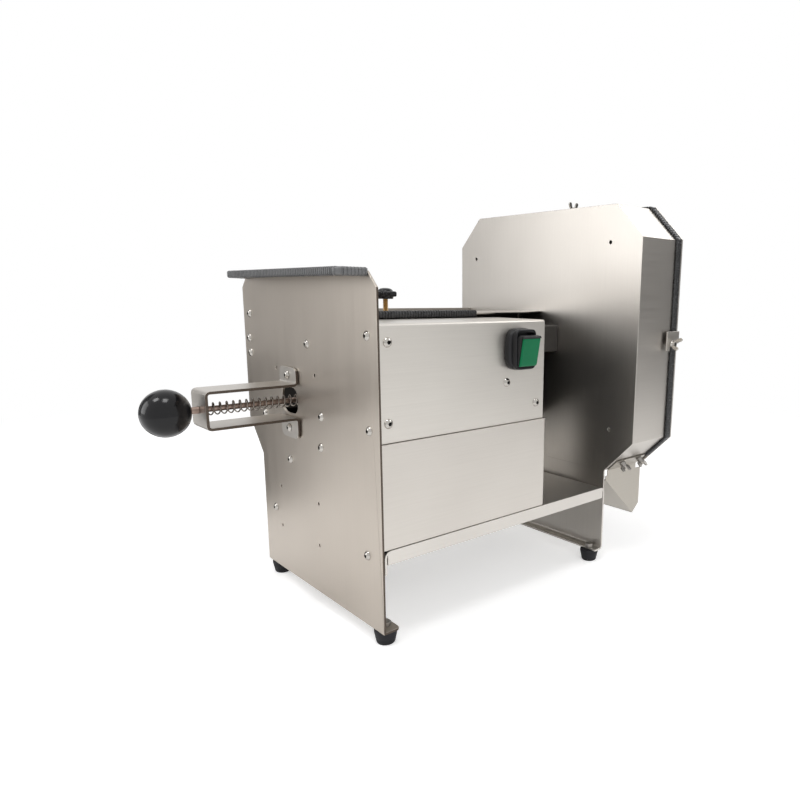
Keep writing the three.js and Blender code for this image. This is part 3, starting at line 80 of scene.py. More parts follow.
look = CAMERA_LOOK.normalized()
level = look.cross(Vector((0, 0, 1))).normalized()
upright = level.cross(look)
right = level * math.cos(CAMERA_ROLL) + upright * math.sin(CAMERA_ROLL)
above = right.cross(look)
camera = bpy.data.objects.new("camera", bpy.data.cameras.new("camera"))
bpy.context.scene.collection.objects.link(camera)
camera.matrix_world = Matrix.Translation(CAMERA_PLACE) @ Matrix((right, above, -look)).transposed().to_4x4()
camera.data.lens = CAMERA_LENS
camera.data.sensor_width = 36
camera.data.shift_x, camera.data.shift_y = CAMERA_SHIFT
bpy.context.scene.camera = camera
print("camera", [round(value, 4) for value in CAMERA_PLACE])

# %% [markdown]
# Bare steel shows what is around it, so the light is the look. The surround is plain white to the camera and
# in reflections, and a pale grey where it lights matt surfaces. The lamps are wide, except for two small ones
# on the ceiling, which show as highlights on the ball knob. The front panel lights the machine, but
# reflections leave it out, because the sheets would show it as a white patch.

# %% World and lamps
WORLD_LEVEL = 0.45
LAMPS = {
    "left_window": dict(place=(-1.7, 1.15, 0.75), size=(1.0, 1.2), watts=9.0),
    "front_panel": dict(place=(-0.6, -1.7, 1.2), size=(1.2, 1.0), watts=9.0),
    "ceiling_left": dict(place=(-0.97, 0.27, 1.7), size=(0.45, 0.5), watts=6.0),
    "ceiling_right": dict(place=(-0.27, -0.39, 1.7), size=(0.45, 0.5), watts=6.0),
    "right_high": dict(place=(1.5, -0.4, 1.35), size=(0.9, 0.7), watts=6.0),
}
AIM = Vector((0, 0, 0.2))
print(len(LAMPS), "lamps planned")


# %% Shader node helpers
def add_node(tree, kind, values=None, links=None, **settings):
    """A node with its settings, plain socket values and incoming links."""
    node = tree.nodes.new(kind)
    for key, value in settings.items():
        setattr(node, key, value)
    for socket, value in (values or {}).items():
        node.inputs[socket].default_value = value
    for socket, source in (links or {}).items():
        tree.links.new(source, node.inputs[socket])
    return node


def math_node(tree, operation, first, second):
    """A sum on two numbers, each a plain value or a socket."""
    node = add_node(tree, "ShaderNodeMath", operation=operation)
    for index, source in enumerate((first, second)):
        if isinstance(source, (int, float)):
            node.inputs[index].default_value = source
        else:
            tree.links.new(source, node.inputs[index])
    return node.outputs[0]


def background_rays(tree, reflected=None):
    """1 for rays from the camera, and for reflected and refracted rays, so that metal shows the background.

    The share of the reflected and refracted rays can be lowered by a number that changes over the floor.
    """
    path = add_node(tree, "ShaderNodeLightPath")
    total = math_node(tree, "ADD", path.outputs["Is Glossy Ray"], path.outputs["Is Transmission Ray"])
    if reflected is not None:
        total = math_node(tree, "MULTIPLY", total, reflected)
    total = math_node(tree, "ADD", total, path.outputs["Is Camera Ray"])
    total.node.use_clamp = True
    return total


# %% Studio
def shader_world(level):
    """A grey surround that lights the object, and looks white to the camera and in reflections."""
    world = bpy.data.worlds.new("studio")
    world.use_nodes = True
    bpy.context.scene.world = world
    tree = world.node_tree
    tree.nodes.clear()
    around = add_node(tree, "ShaderNodeBackground", {"Color": (level, level, level, 1)})
    seen = add_node(tree, "ShaderNodeBackground", {"Color": (1, 1, 1, 1)})
    mix = add_node(tree, "ShaderNodeMixShader", links={
        0: background_rays(tree), 1: around.outputs[0], 2: seen.outputs[0]})
    add_node(tree, "ShaderNodeOutputWorld", links={"Surface": mix.outputs[0]})


def add_lamp(name, place, size, watts):
    """A rectangular lamp that faces the middle of the object."""
    data = bpy.data.lights.new(name, "AREA")
    data.shape = "RECTANGLE"
    data.size, data.size_y = size
    data.energy = watts
    lamp = bpy.data.objects.new(name, data)
    bpy.context.scene.collection.objects.link(lamp)
    lamp.location = place
    lamp.rotation_euler = (AIM - Vector(place)).to_track_quat("-Z", "Y").to_euler()
    lamp.visible_glossy = name != "front_panel"


shader_world(WORLD_LEVEL)
for lamp_name, facts in LAMPS.items():
    add_lamp(lamp_name, **facts)
bpy.context.scene.view_settings.view_transform = "Standard"
print(len(LAMPS), "lamps")

# %% [markdown]
# A finish is one material with its own values. What several finishes share, such as brushed grain or pebbled
# rubber, is a node group, so that it is made once. Grain follows each sheet's rolling direction: along X on
# faces that look to the front or up, and upright on faces that look along X.

# %% Node group helpers
def add_socket(tree, label, in_out, value=None):
    """A named socket on a group: the geometry, or a number with its value."""
    kind = "NodeSocketGeometry" if label == "Geometry" else "NodeSocketFloat"
    socket = tree.interface.new_socket(name=label, in_out=in_out, socket_type=kind)
    if value is not None:
        socket.default_value = value


def new_group(name, kind, inputs, outputs):
    """A node group with named inputs and outputs, and the nodes at its two ends."""
    tree = bpy.data.node_groups.new(name, kind)
    for label, value in inputs.items():
        add_socket(tree, label, "INPUT", value)
    for label in outputs:
        add_socket(tree, label, "OUTPUT")
    return tree, tree.nodes.new("NodeGroupInput"), tree.nodes.new("NodeGroupOutput")


# %% Brushed grain group
LOOKS_ALONG_X = 0.7


def make_grain_group():
    """Fine parallel scratches that run along X, or along Z on faces that look along X."""
    tree, inside, outside = new_group("brushed_grain", "ShaderNodeTree", {"Fineness": 900.0, "Length": 14.0},
                                      ["Grain", "Cloud"])
    place = add_node(tree, "ShaderNodeTexCoord")
    along_x = add_node(tree, "ShaderNodeCombineXYZ", links={
        "X": inside.outputs["Length"], "Y": inside.outputs["Fineness"], "Z": inside.outputs["Fineness"]})
    along_z = add_node(tree, "ShaderNodeCombineXYZ", links={
        "X": inside.outputs["Fineness"], "Y": inside.outputs["Fineness"], "Z": inside.outputs["Length"]})
    parts = add_node(tree, "ShaderNodeSeparateXYZ", links={"Vector": place.outputs["Normal"]})
    size = add_node(tree, "ShaderNodeMath", operation="ABSOLUTE", links={0: parts.outputs["X"]})
    faces_x = math_node(tree, "GREATER_THAN", size.outputs[0], LOOKS_ALONG_X)
    scale = add_node(tree, "ShaderNodeMix", data_type="VECTOR", links={"Factor": faces_x})
    tree.links.new(along_x.outputs[0], scale.inputs[4])
    tree.links.new(along_z.outputs[0], scale.inputs[5])
    spread = add_node(tree, "ShaderNodeVectorMath", operation="MULTIPLY", links={
        0: place.outputs["Object"], 1: scale.outputs[1]})
    scratch = add_node(tree, "ShaderNodeTexNoise", {"Scale": 1.0, "Detail": 3.0, "Roughness": 0.6},
                       {"Vector": spread.outputs[0]})
    cloud = add_node(tree, "ShaderNodeTexNoise", {"Scale": 9.0, "Detail": 2.0, "Roughness": 0.5},
                     {"Vector": place.outputs["Object"]})
    tree.links.new(scratch.outputs["Fac"], outside.inputs["Grain"])
    tree.links.new(cloud.outputs["Fac"], outside.inputs["Cloud"])
    return tree


grain_group = make_grain_group()
print("group", grain_group.name)


# %% Pebble group
def make_pebble_group():
    """Small raised cells, as on moulded rubber and textured plastic."""
    tree, inside, outside = new_group("pebble", "ShaderNodeTree", {"Cells": 900.0}, ["Height", "Dust"])
    place = add_node(tree, "ShaderNodeTexCoord")
    cells = add_node(tree, "ShaderNodeTexVoronoi", {"Randomness": 0.8},
                     {"Vector": place.outputs["Object"], "Scale": inside.outputs["Cells"]})
    dust = add_node(tree, "ShaderNodeTexNoise", {"Scale": 60.0, "Detail": 4.0, "Roughness": 0.65},
                    {"Vector": place.outputs["Object"]})
    tree.links.new(cells.outputs["Distance"], outside.inputs["Height"])
    tree.links.new(dust.outputs["Fac"], outside.inputs["Dust"])
    return tree


pebble_group = make_pebble_group()
print("group", pebble_group.name)


# %% [markdown]
# Each metal is made the same way: the grain lightens and darkens the colour a little, changes the roughness
# and lifts a faint bump, and the cloud keeps large sheets from looking printed. Only the values differ.

# %% Finish helpers
def ramp(tree, source, low, high):
    """A number from 0 to 1 spread over a new range."""
    spread = add_node(tree, "ShaderNodeMapRange", {"To Min": low, "To Max": high}, {"Value": source})
    return spread.outputs["Result"]


def blend_colours(tree, factor, dark, light):
    """A colour between two, by a number."""
    mix = add_node(tree, "ShaderNodeMix", data_type="RGBA")
    tree.links.new(factor, mix.inputs["Factor"])
    mix.inputs[6].default_value = (*dark, 1)
    mix.inputs[7].default_value = (*light, 1)
    return mix.outputs[2]


def new_finish(name):
    """A material with its node tree and the shader that is linked to the output."""
    material = bpy.data.materials.new(name)
    material.use_nodes = True
    tree = material.node_tree
    shader = tree.nodes["Principled BSDF"]
    return material, tree, shader


def metal(name, dark, light, rough, fineness=900.0, length=14.0, bump=0.05):
    """A brushed or ground metal; dark and light are the ends of its colour, rough those of its roughness."""
    material, tree, shader = new_finish(name)
    grain = add_node(tree, "ShaderNodeGroup", node_tree=grain_group)
    grain.inputs["Fineness"].default_value = fineness
    grain.inputs["Length"].default_value = length
    both = add_node(tree, "ShaderNodeMix", {"Factor": 0.55}, {
        "A": grain.outputs["Grain"], "B": grain.outputs["Cloud"]})
    shader.inputs["Metallic"].default_value = 1.0
    tree.links.new(blend_colours(tree, both.outputs[0], dark, light), shader.inputs["Base Color"])
    tree.links.new(ramp(tree, grain.outputs["Grain"], *rough), shader.inputs["Roughness"])
    lift = add_node(tree, "ShaderNodeBump", {"Strength": bump, "Distance": 0.0002},
                    {"Height": grain.outputs["Grain"]})
    tree.links.new(lift.outputs["Normal"], shader.inputs["Normal"])
    return material


def moulded(name, dark, light, rough, cells=900.0, bump=0.2, depth=0.0002, coat=0.0, gloss=0.25):
    """A rubber or plastic with a pebbled face, a little dust and perhaps a waxy coat."""
    material, tree, shader = new_finish(name)
    shader.inputs["Specular IOR Level"].default_value = gloss
    shader.inputs["Coat Weight"].default_value = coat
    shader.inputs["Coat Roughness"].default_value = 0.3
    pebble = add_node(tree, "ShaderNodeGroup", node_tree=pebble_group)
    pebble.inputs["Cells"].default_value = cells
    tree.links.new(blend_colours(tree, pebble.outputs["Dust"], dark, light), shader.inputs["Base Color"])
    tree.links.new(ramp(tree, pebble.outputs["Dust"], *rough), shader.inputs["Roughness"])
    lift = add_node(tree, "ShaderNodeBump", {"Strength": bump, "Distance": depth},
                    {"Height": pebble.outputs["Height"]})
    tree.links.new(lift.outputs["Normal"], shader.inputs["Normal"])
    return material


# %% Finishes by material slot
SHEET_DARK = (0.47, 0.44, 0.405)
SHEET_LIGHT = (0.62, 0.59, 0.55)
SHEET_ROUGH = (0.3, 0.46)
FINISHES = {
    "sheet_steel": metal("brushed_sheet", SHEET_DARK, SHEET_LIGHT, SHEET_ROUGH),
    "dark_steel": metal("fastener_steel", (0.25, 0.24, 0.225), (0.42, 0.4, 0.375), (0.28, 0.42), 500.0, 60.0),
    "knife_steel": metal("ground_steel", (0.56, 0.55, 0.53), (0.7, 0.69, 0.67), (0.16, 0.28), 1400.0, 30.0),
    "brass": metal("turned_brass", (0.46, 0.3, 0.13), (0.62, 0.43, 0.21), (0.25, 0.38), 600.0, 80.0),
    "black_rubber": moulded("pebbled_rubber", (0.012, 0.012, 0.014), (0.03, 0.03, 0.034), (0.55, 0.75),
                            700.0, 0.5),
    "black_plastic": moulded("satin_plastic", (0.012, 0.012, 0.013), (0.022, 0.022, 0.024), (0.3, 0.42),
                             1800.0, 0.08),
    "knob_plastic": moulded("polished_knob", (0.004, 0.004, 0.005), (0.008, 0.008, 0.009), (0.1, 0.18),
                            300.0, 0.0, gloss=0.3),
    "green_plastic": moulded("green_lens", (0.004, 0.14, 0.055), (0.01, 0.2, 0.082), (0.18, 0.28),
                             1500.0, 0.04, gloss=0.12),
    "motor_paint": moulded("motor_enamel", (0.03, 0.034, 0.04), (0.05, 0.055, 0.062), (0.35, 0.5),
                           1200.0, 0.15),
}
print(len(FINISHES), "finishes by slot")

# %% [markdown]
# Some pieces differ from their slot's finish: the edge strips are waxier than other rubber, and the side
# plate's strip is painted a lighter grey, a painted sheen; the pusher rod is oiled; screw sockets get painted
# shade; cut edges are painted darker than rolled faces, a painted shade; the side plate's inner face is
# painted a much lighter steel, a painted light; and each large sheet comes from its own piece of stock, so it
# gets a tone of its own.

# %% Finishes of single pieces
# The side plate's strip rubber has a waxy coat, and its lighter grey is a painted sheen.
STRIP_RUBBER_PAINTED_SHEEN = moulded("strip_rubber_painted_sheen", (0.07, 0.071, 0.073), (0.15, 0.151, 0.155), (0.3, 0.45), 620.0, 0.9,
                       0.0006, coat=1.0, gloss=0.5)
# Painted shade: a near-black colour on the walls and floors of the screw sockets.
SOCKET_PAINTED_SHADE = moulded("socket_painted_shade", (0.006, 0.006, 0.006), (0.016, 0.015, 0.014), (0.45, 0.6), 700.0, 0.15)
OILED_ROD = metal("oiled_rod", (0.26, 0.19, 0.16), (0.4, 0.31, 0.27), (0.3, 0.42), 500.0, 30.0)
SPRING_WIRE_FINISH = metal("spring_wire", (0.2, 0.175, 0.155), (0.34, 0.31, 0.28), (0.2, 0.3), 900.0, 60.0)
BRIGHT_SCREW = metal("bright_screw", (0.36, 0.34, 0.315), (0.52, 0.5, 0.465), (0.12, 0.22), 500.0, 60.0)
KNURLED_RUBBER = moulded("knurled_rubber", (0.008, 0.008, 0.009), (0.03, 0.03, 0.032), (0.3, 0.42), 380.0,
                         1.0, 0.0012, coat=0.35, gloss=0.4)
# Painted light: a much lighter steel for the side plate's inner face, which brightens its reflections.
INNER_FACE_PAINTED_LIGHT = metal("inner_face_painted_light", (0.8, 0.78, 0.75), (0.92, 0.9, 0.87), (0.22, 0.34))
# Painted shade: a dark brown colour on the cut sheet edges of the guide bracket and the side plate.
CUT_EDGE_PAINTED_SHADE = metal("cut_edge_painted_shade", (0.07, 0.055, 0.045), (0.14, 0.115, 0.095), (0.4, 0.55), 900.0, 200.0)
BLOCK_PAINT = moulded("block_enamel", (0.03, 0.027, 0.024), (0.05, 0.046, 0.042), (0.4, 0.55), 500.0, 0.2)
SHEET_TONES = {
    "side_plate": (0.88, 0.84, 0.8), "upper_cover": (1.13, 1.14, 1.14), "lower_cover": (1.05, 1.05, 1.05),
    "base": (1.1, 1.11, 1.12), "chute": (0.8, 0.79, 0.76), "trough": (1.0, 1.0, 1.0),
}
sheet_finish = {
    node: metal(node + "_sheet", [a * b for a, b in zip(SHEET_DARK, tone)],
                [a * b for a, b in zip(SHEET_LIGHT, tone)], SHEET_ROUGH)
    for node, tone in SHEET_TONES.items()
}
print(len(sheet_finish), "sheets with a tone of their own")

# %% [markdown]
# The narrow pockets beside and behind the drive box look nearly black. Painted shade stands for that: a
# near-black colour tints the metal where several soft steps of place and direction meet, so that it fades out
# at its borders.
# It lies on the trough's walls in the pocket and behind the slot, and on the box's end walls below the
# bearing block.

# %% Painted shade in the pockets
PAINTED_SHADE_COLOUR = (0.012, 0.011, 0.01, 1)
POCKET_X = 0.078
SLOT_X = -0.045
SLOT_TOP = 0.2
BLOCK_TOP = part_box("bearing_block")[1].z


def step(tree, source, start, end):
    """0 before a start and 1 past an end, of a number that changes over the surface."""
    made = add_node(tree, "ShaderNodeMapRange", {"From Min": start, "From Max": end}, {"Value": source})
    return made.outputs["Result"]


def add_painted_shade(material, masks):
    """Painted shade where all steps of a mask meet; a step is (kind, axis, start, end)."""
    tree = material.node_tree
    shader = tree.nodes["Principled BSDF"]
    place = add_node(tree, "ShaderNodeTexCoord")
    parts = {kind: add_node(tree, "ShaderNodeSeparateXYZ", links={0: place.outputs[kind]})
             for kind in ("Object", "Normal")}
    for mask in masks:
        share, *others = [step(tree, parts[kind].outputs[axis], start, end)
                          for kind, axis, start, end in mask]
        for other in others:
            share = math_node(tree, "MULTIPLY", share, other)
        mix = add_node(tree, "ShaderNodeMix", data_type="RGBA")
        tree.links.new(share, mix.inputs["Factor"])
        tree.links.new(shader.inputs["Base Color"].links[0].from_socket, mix.inputs[6])
        mix.inputs[7].default_value = PAINTED_SHADE_COLOUR
        tree.links.new(mix.outputs[2], shader.inputs["Base Color"])


END_WALL = (("Normal", "X", 0.6, 0.8), ("Object", "Z", BLOCK_TOP + 0.012, BLOCK_TOP))
LOOKS_NEAR = ("Normal", "Y", -0.3, -0.7)
POCKET = (("Object", "X", POCKET_X - 0.02, POCKET_X), LOOKS_NEAR, ("Object", "Y", 0.05, 0.045))
SLOT = (("Object", "X", SLOT_X + 0.03, SLOT_X), ("Object", "Z", SLOT_TOP + 0.01, SLOT_TOP), LOOKS_NEAR)
# Painted shade on the trough's walls in the pocket and behind the slot, and on the covers' end walls.
PAINTED_SHADE_MASKS = {"trough": [POCKET, SLOT], "upper_cover": [END_WALL], "lower_cover": [END_WALL]}
for node, masks in PAINTED_SHADE_MASKS.items():
    add_painted_shade(sheet_finish[node], masks)
print("film on", ", ".join(PAINTED_SHADE_MASKS))

# %% Finishes on the CAD nodes
slot_of_node = {entry["node"]: entry["material_slot"] for entry in record["subparts"]}
for node, cad_object in nodes.items():
    cad_object.data.materials.clear()
    cad_object.data.materials.append(FINISHES[slot_of_node[node]])
print(len(FINISHES), "finishes on", len(nodes), "nodes")

# %% [markdown]
# Real sheet metal has no knife-sharp edge: each cut edge is broken by a file or a tumbler, and that thin
# round is what catches the light. So each folded sheet gets a welded copy of its CAD solid with its edges
# rounded by a Bevel modifier, and the copy stands for the node.

# %% Piece and mesh helpers
def settle(piece, body, slot, stands_for=(), finish=None):
    """Gives a finished piece its finish, its body and the nodes that it stands for."""
    piece.data.materials.clear()
    piece.data.materials.append(finish or FINISHES[slot])
    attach(piece, body)
    if stands_for:
        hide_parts(*stands_for)
    return piece


def bake(piece):
    """Turns a piece with modifiers into a plain mesh, and removes the modifiers."""
    graph = bpy.context.evaluated_depsgraph_get()
    mesh = bpy.data.meshes.new_from_object(piece.evaluated_get(graph))
    piece.modifiers.clear()
    piece.data = mesh
    return piece


def link_mesh(name, mesh):
    """A new object with a mesh, in the scene."""
    piece = bpy.data.objects.new(name, mesh)
    bpy.context.scene.collection.objects.link(piece)
    return piece


def mesh_of(work, name, smooth=None):
    """The mesh that was worked on, shaded smooth up to an angle where one is given."""
    mesh = bpy.data.meshes.new(name)
    work.to_mesh(mesh)
    work.free()
    if smooth is not None:
        mesh.shade_smooth()
        mesh.set_sharp_from_angle(angle=math.radians(smooth))
    return mesh


SAME_SPOT = 2e-6
SAME_PLANE = math.radians(0.3)


def welded_mesh(node):
    """A CAD node's mesh with its loose triangles joined, and flat ones merged into whole faces."""
    work = bmesh.new()
    work.from_mesh(nodes[node].data)
    bmesh.ops.remove_doubles(work, verts=work.verts, dist=SAME_SPOT)
    bmesh.ops.dissolve_limit(work, angle_limit=SAME_PLANE, verts=work.verts, edges=work.edges)
    return mesh_of(work, node + "_finish")


# %% Copies of CAD nodes with broken edges
SHEET_SHARP = 33


def round_edges(piece, width, segments, sharp, clamp):
    """Rounds a piece's edges sharper than an angle to a width in mm, and keeps it as a plain mesh."""
    edge = piece.modifiers.new("Edge", "BEVEL")
    edge.width = width * MM
    edge.segments = segments
    edge.limit_method = "ANGLE"
    edge.angle_limit = math.radians(sharp)
    edge.use_clamp_overlap = clamp
    piece.data.shade_smooth()
    even = piece.modifiers.new("Even", "WEIGHTED_NORMAL")
    even.weight = 100
    return bake(piece)


def broken_edges(node, width=0.35, cutter=None, segments=2, finish=None):
    """A welded copy of a node with rounded edges, which stands for the node."""
    piece = link_mesh(node + "_finish", welded_mesh(node))
    if cutter is not None:
        cut = piece.modifiers.new("Cut", "BOOLEAN")
        cut.operation = "DIFFERENCE"
        cut.solver = "EXACT"
        cut.object = cutter
    round_edges(piece, width, segments, SHEET_SHARP, False)
    return settle(piece, body_of_node[node], slot_of_node[node], [node], finish)


# %% [markdown]
# The CAD screws are fused to the sheets that they hold, with plain eight-sided heads. Each head is cut from
# the copy of its sheet by a Boolean modifier, and a smooth dome with a hexagon socket takes its place. The
# places are read from the frame: the top of a head is the only corner at that height.

# %% Screw places
HEAD_RADIUS = 4.0
HEAD_HIGH = 2.6
SOCKET_ACROSS = 3.0
SOCKET_DEEP = 2.0
COVER_THICK = 1.2
FIT = 0.3
SAME_HEIGHT = 0.02
plate_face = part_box("guide_bracket")[1].x + FIT * MM


def head_tops(node, axis, value):
    """The corners of a CAD node that lie at a value on an axis, each once."""
    found = {}
    for vertex in nodes[node].data.vertices:
        if abs(vertex.co[axis] - value) < SAME_HEIGHT * MM:
            found[tuple(round(number, 5) for number in vertex.co)] = vertex.co.copy()
    return list(found.values())


def seats(tops, out):
    """The points on the sheet under the tops, with the way out of the sheet."""
    return [(top - Vector(out) * HEAD_HIGH * MM, Vector(out)) for top in tops]


plate_seats = seats(head_tops("side_plate", 0, plate_face - HEAD_HIGH * MM), (-1, 0, 0))
front_seats = seats(head_tops("upper_cover", 1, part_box("upper_cover")[0].y), (0, -1, 0))
rear_seats = seats(head_tops("lower_cover", 2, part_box("lower_cover")[0].z + (COVER_THICK + HEAD_HIGH) * MM),
                   (0, 0, 1))
bracket_seats = []
for node in ("bracket_screw_1", "bracket_screw_2"):
    low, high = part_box(node)
    bracket_seats += seats([Vector((low.x, (low.y + high.y) / 2, (low.z + high.z) / 2))], (-1, 0, 0))
head_seats = plate_seats + front_seats + rear_seats + bracket_seats
print(len(head_seats), "screw places")

# %% Cutters for the plain heads
CUTTER_RADIUS = 4.3
CUTTER_LONG = 3.0
CUTTER_LIFT = 1.52


def head_cutter(name, places):
    """One mesh of short cylinders that take the plain heads off a sheet."""
    work = bmesh.new()
    for seat, out in places:
        turn = out.to_track_quat("Z", "Y").to_matrix().to_4x4()
        middle = Matrix.Translation(seat + out * CUTTER_LIFT * MM)
        bmesh.ops.create_cone(work, cap_ends=True, segments=24, radius1=CUTTER_RADIUS * MM,
                              radius2=CUTTER_RADIUS * MM, depth=CUTTER_LONG * MM, matrix=middle @ turn)
    return link_mesh(name, mesh_of(work, name))


def paint_faces(piece, finish, chosen):
    """Gives the faces that a test chooses a second finish, such as painted light on a wall, or painted shade
    on a cut edge or in a socket.
    """
    piece.data.materials.append(finish)
    for face in piece.data.polygons:
        if chosen(face):
            face.material_index = len(piece.data.materials) - 1


CUTTERS = {
    "side_plate": head_cutter("plate_head_cutter", plate_seats),
    "upper_cover": head_cutter("front_head_cutter", front_seats),
    "lower_cover": head_cutter("rear_head_cutter", rear_seats),
}
print(len(CUTTERS), "cutters")

# %% Folded sheets
SHEETS = ["side_plate", "upper_cover", "lower_cover", "base", "knife_housing", "housing_cover", "chute",
          "trough", "guide_bracket", "pusher_head"]
for sheet in SHEETS:
    made = broken_edges(sheet, cutter=CUTTERS.get(sheet), finish=sheet_finish.get(sheet))
    # The bracket's and the plate's cut edges get painted shade.
    if sheet == "guide_bracket":
        paint_faces(made, CUT_EDGE_PAINTED_SHADE, lambda face: abs(face.normal.y) > 0.8)
    if sheet == "side_plate":
        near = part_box(sheet)[0].y
        paint_faces(made, CUT_EDGE_PAINTED_SHADE, lambda face: face.normal.y < -0.8 and face.center.y < near + 1.0 * MM)
        # The plate's inner face gets painted light.
        paint_faces(made, INNER_FACE_PAINTED_LIGHT, lambda face: face.normal.x > 0.9)
    print(made.name, len(made.data.polygons), "faces")
for cutter in CUTTERS.values():
    bpy.data.objects.remove(cutter)

# %% [markdown]
# One Geometry Nodes tree makes every button-head screw. A ball cut by a cylinder gives the dome, a six-sided
# cylinder cuts the socket, and the head is placed on each point of a small mesh whose "out" attribute says
# which way the head looks.

# %% Geometry Nodes helpers
def new_tree(name, inputs):
    """A Geometry Nodes tree with named numbers, and the nodes at its two ends."""
    return new_group(name, "GeometryNodeTree", {"Geometry": None, **inputs}, ["Geometry"])


def end_tree(tree, outside, geometry, finish):
    """Ends a tree in Realize Instances and Set Material."""
    real = add_node(tree, "GeometryNodeRealizeInstances", links={"Geometry": geometry})
    paint = add_node(tree, "GeometryNodeSetMaterial", {"Material": finish}, {"Geometry": real.outputs[0]})
    tree.links.new(paint.outputs[0], outside.inputs[0])


def grow(piece, tree, values, smooth=35):
    """Runs a tree on a piece with its named inputs set, and keeps the result as a plain mesh."""
    modifier = piece.modifiers.new(tree.name, "NODES")
    modifier.node_group = tree
    for item in tree.interface.items_tree:
        if item.item_type == "SOCKET" and item.in_out == "INPUT" and item.name in values:
            modifier[item.identifier] = values[item.name]
    bake(piece)
    piece.data.shade_smooth()
    piece.data.set_sharp_from_angle(angle=math.radians(smooth))
    return piece


def points_mesh(name, places):
    """A mesh of loose points with an "out" direction on each."""
    mesh = bpy.data.meshes.new(name)
    mesh.from_pydata([seat for seat, out in places], [], [])
    outs = mesh.attributes.new("out", "FLOAT_VECTOR", "POINT")
    outs.data.foreach_set("vector", [number for seat, out in places for number in out])
    return link_mesh(name, mesh)


# %% Button-head screws
def make_screw_tree():
    """A domed head with a hexagon socket on each point."""
    tree, inside, outside = new_tree("button_heads", {
        "Head Radius": 0.004, "Head Height": 0.0026, "Crown Radius": 0.005, "Socket Radius": 0.0015,
        "Socket Depth": 0.0015})
    given = inside.outputs

    def lifted(geometry, height):
        place = add_node(tree, "ShaderNodeCombineXYZ", links={"Z": height})
        return add_node(tree, "GeometryNodeTransform", links={
            "Geometry": geometry, "Translation": place.outputs[0]}).outputs[0]

    ball = add_node(tree, "GeometryNodeMeshUVSphere", {"Segments": 28, "Rings": 40}, {
        "Radius": given["Crown Radius"]})
    crown = lifted(ball.outputs[0], math_node(tree, "SUBTRACT", given["Head Height"], given["Crown Radius"]))
    drum = add_node(tree, "GeometryNodeMeshCylinder", {"Vertices": 28}, {
        "Radius": given["Head Radius"], "Depth": given["Head Height"]})
    drum_up = lifted(drum.outputs[0], math_node(tree, "MULTIPLY", given["Head Height"], 0.5))
    dome = add_node(tree, "GeometryNodeMeshBoolean", operation="INTERSECT")
    tree.links.new(crown, dome.inputs["Mesh 2"])
    tree.links.new(drum_up, dome.inputs["Mesh 2"])
    key = add_node(tree, "GeometryNodeMeshCylinder", {"Vertices": 6}, {"Radius": given["Socket Radius"]})
    tree.links.new(math_node(tree, "MULTIPLY", given["Socket Depth"], 2.0), key.inputs["Depth"])
    head = add_node(tree, "GeometryNodeMeshBoolean", operation="DIFFERENCE")
    tree.links.new(dome.outputs[0], head.inputs["Mesh 1"])
    tree.links.new(lifted(key.outputs[0], given["Head Height"]), head.inputs["Mesh 2"])
    out = add_node(tree, "GeometryNodeInputNamedAttribute", {"Name": "out"}, data_type="FLOAT_VECTOR")
    turn = add_node(tree, "FunctionNodeAlignRotationToVector", links={"Vector": out.outputs[0]})
    turn.axis = "Z"
    heads = add_node(tree, "GeometryNodeInstanceOnPoints", links={
        "Points": given[0], "Instance": head.outputs[0], "Rotation": turn.outputs[0]})
    end_tree(tree, outside, heads.outputs[0], BRIGHT_SCREW)
    return tree


RIM_HIGH = 0.3
RIM_PROUD = 0.05
crown_high = HEAD_HIGH - RIM_HIGH
crown_radius = (HEAD_RADIUS ** 2 + crown_high ** 2) / (2 * crown_high)
screws = grow(points_mesh("button_screws", head_seats), make_screw_tree(), {
    "Head Radius": (HEAD_RADIUS + RIM_PROUD) * MM, "Head Height": HEAD_HIGH * MM,
    "Crown Radius": crown_radius * MM, "Socket Radius": SOCKET_ACROSS / math.sqrt(3) * MM,
    "Socket Depth": SOCKET_DEEP * MM})
settle(screws, "frame", "dark_steel", ["bracket_screw_1", "bracket_screw_2"], BRIGHT_SCREW)
SOCKET_REACH = 1.8
SOCKET_LOW = 1.5
LOOKS_OUT = 0.3


def in_socket(face):
    """Whether a face of the screws is a wall or the floor of a socket."""
    seat, out = min(head_seats, key=lambda head: (face.center - head[0]).length)
    reach = face.center - seat
    high = reach.dot(out)
    aside = (reach - out * high).length
    return aside < SOCKET_REACH * MM and (face.normal.dot(out) < LOOKS_OUT or high < SOCKET_LOW * MM)


# The sockets get painted shade.
paint_faces(screws, SOCKET_PAINTED_SHADE, in_socket)
print(screws.name, len(screws.data.polygons), "faces")

# %% [markdown]
# Turned pieces are made by walking a profile round an axis, with enough steps to look round up close: the
# ball knob, its rod, the feet, the cord gland and the threaded brass stud.

# %% Turned pieces
def turned(name, profile, foot, direction, steps=48, smooth=35):
    """A closed turned piece. Its profile is (radius, height) in mm, from a foot point along a direction."""
    work = bmesh.new()
    rings = []
    for radius, height in profile:
        count = steps if radius > 0 else 1
        rings.append([work.verts.new((radius * MM * math.cos(math.tau * i / steps),
                                      radius * MM * math.sin(math.tau * i / steps), height * MM))
                      for i in range(count)])
    for below, over in zip(rings, rings[1:]):
        for i in range(steps):
            corners = [below[i % len(below)], below[(i + 1) % len(below)],
                       over[(i + 1) % len(over)], over[i % len(over)]]
            unique = list(dict.fromkeys(corners))
            if len(unique) > 2:
                work.faces.new(unique)
    turn = Vector(direction).to_track_quat("Z", "Y").to_matrix().to_4x4()
    bmesh.ops.transform(work, matrix=Matrix.Translation(foot) @ turn, verts=work.verts)
    bmesh.ops.recalc_face_normals(work, faces=work.faces)
    return link_mesh(name, mesh_of(work, name, smooth))


def middle_of(node):
    """The middle of a node's box."""
    low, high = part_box(node)
    return (low + high) / 2


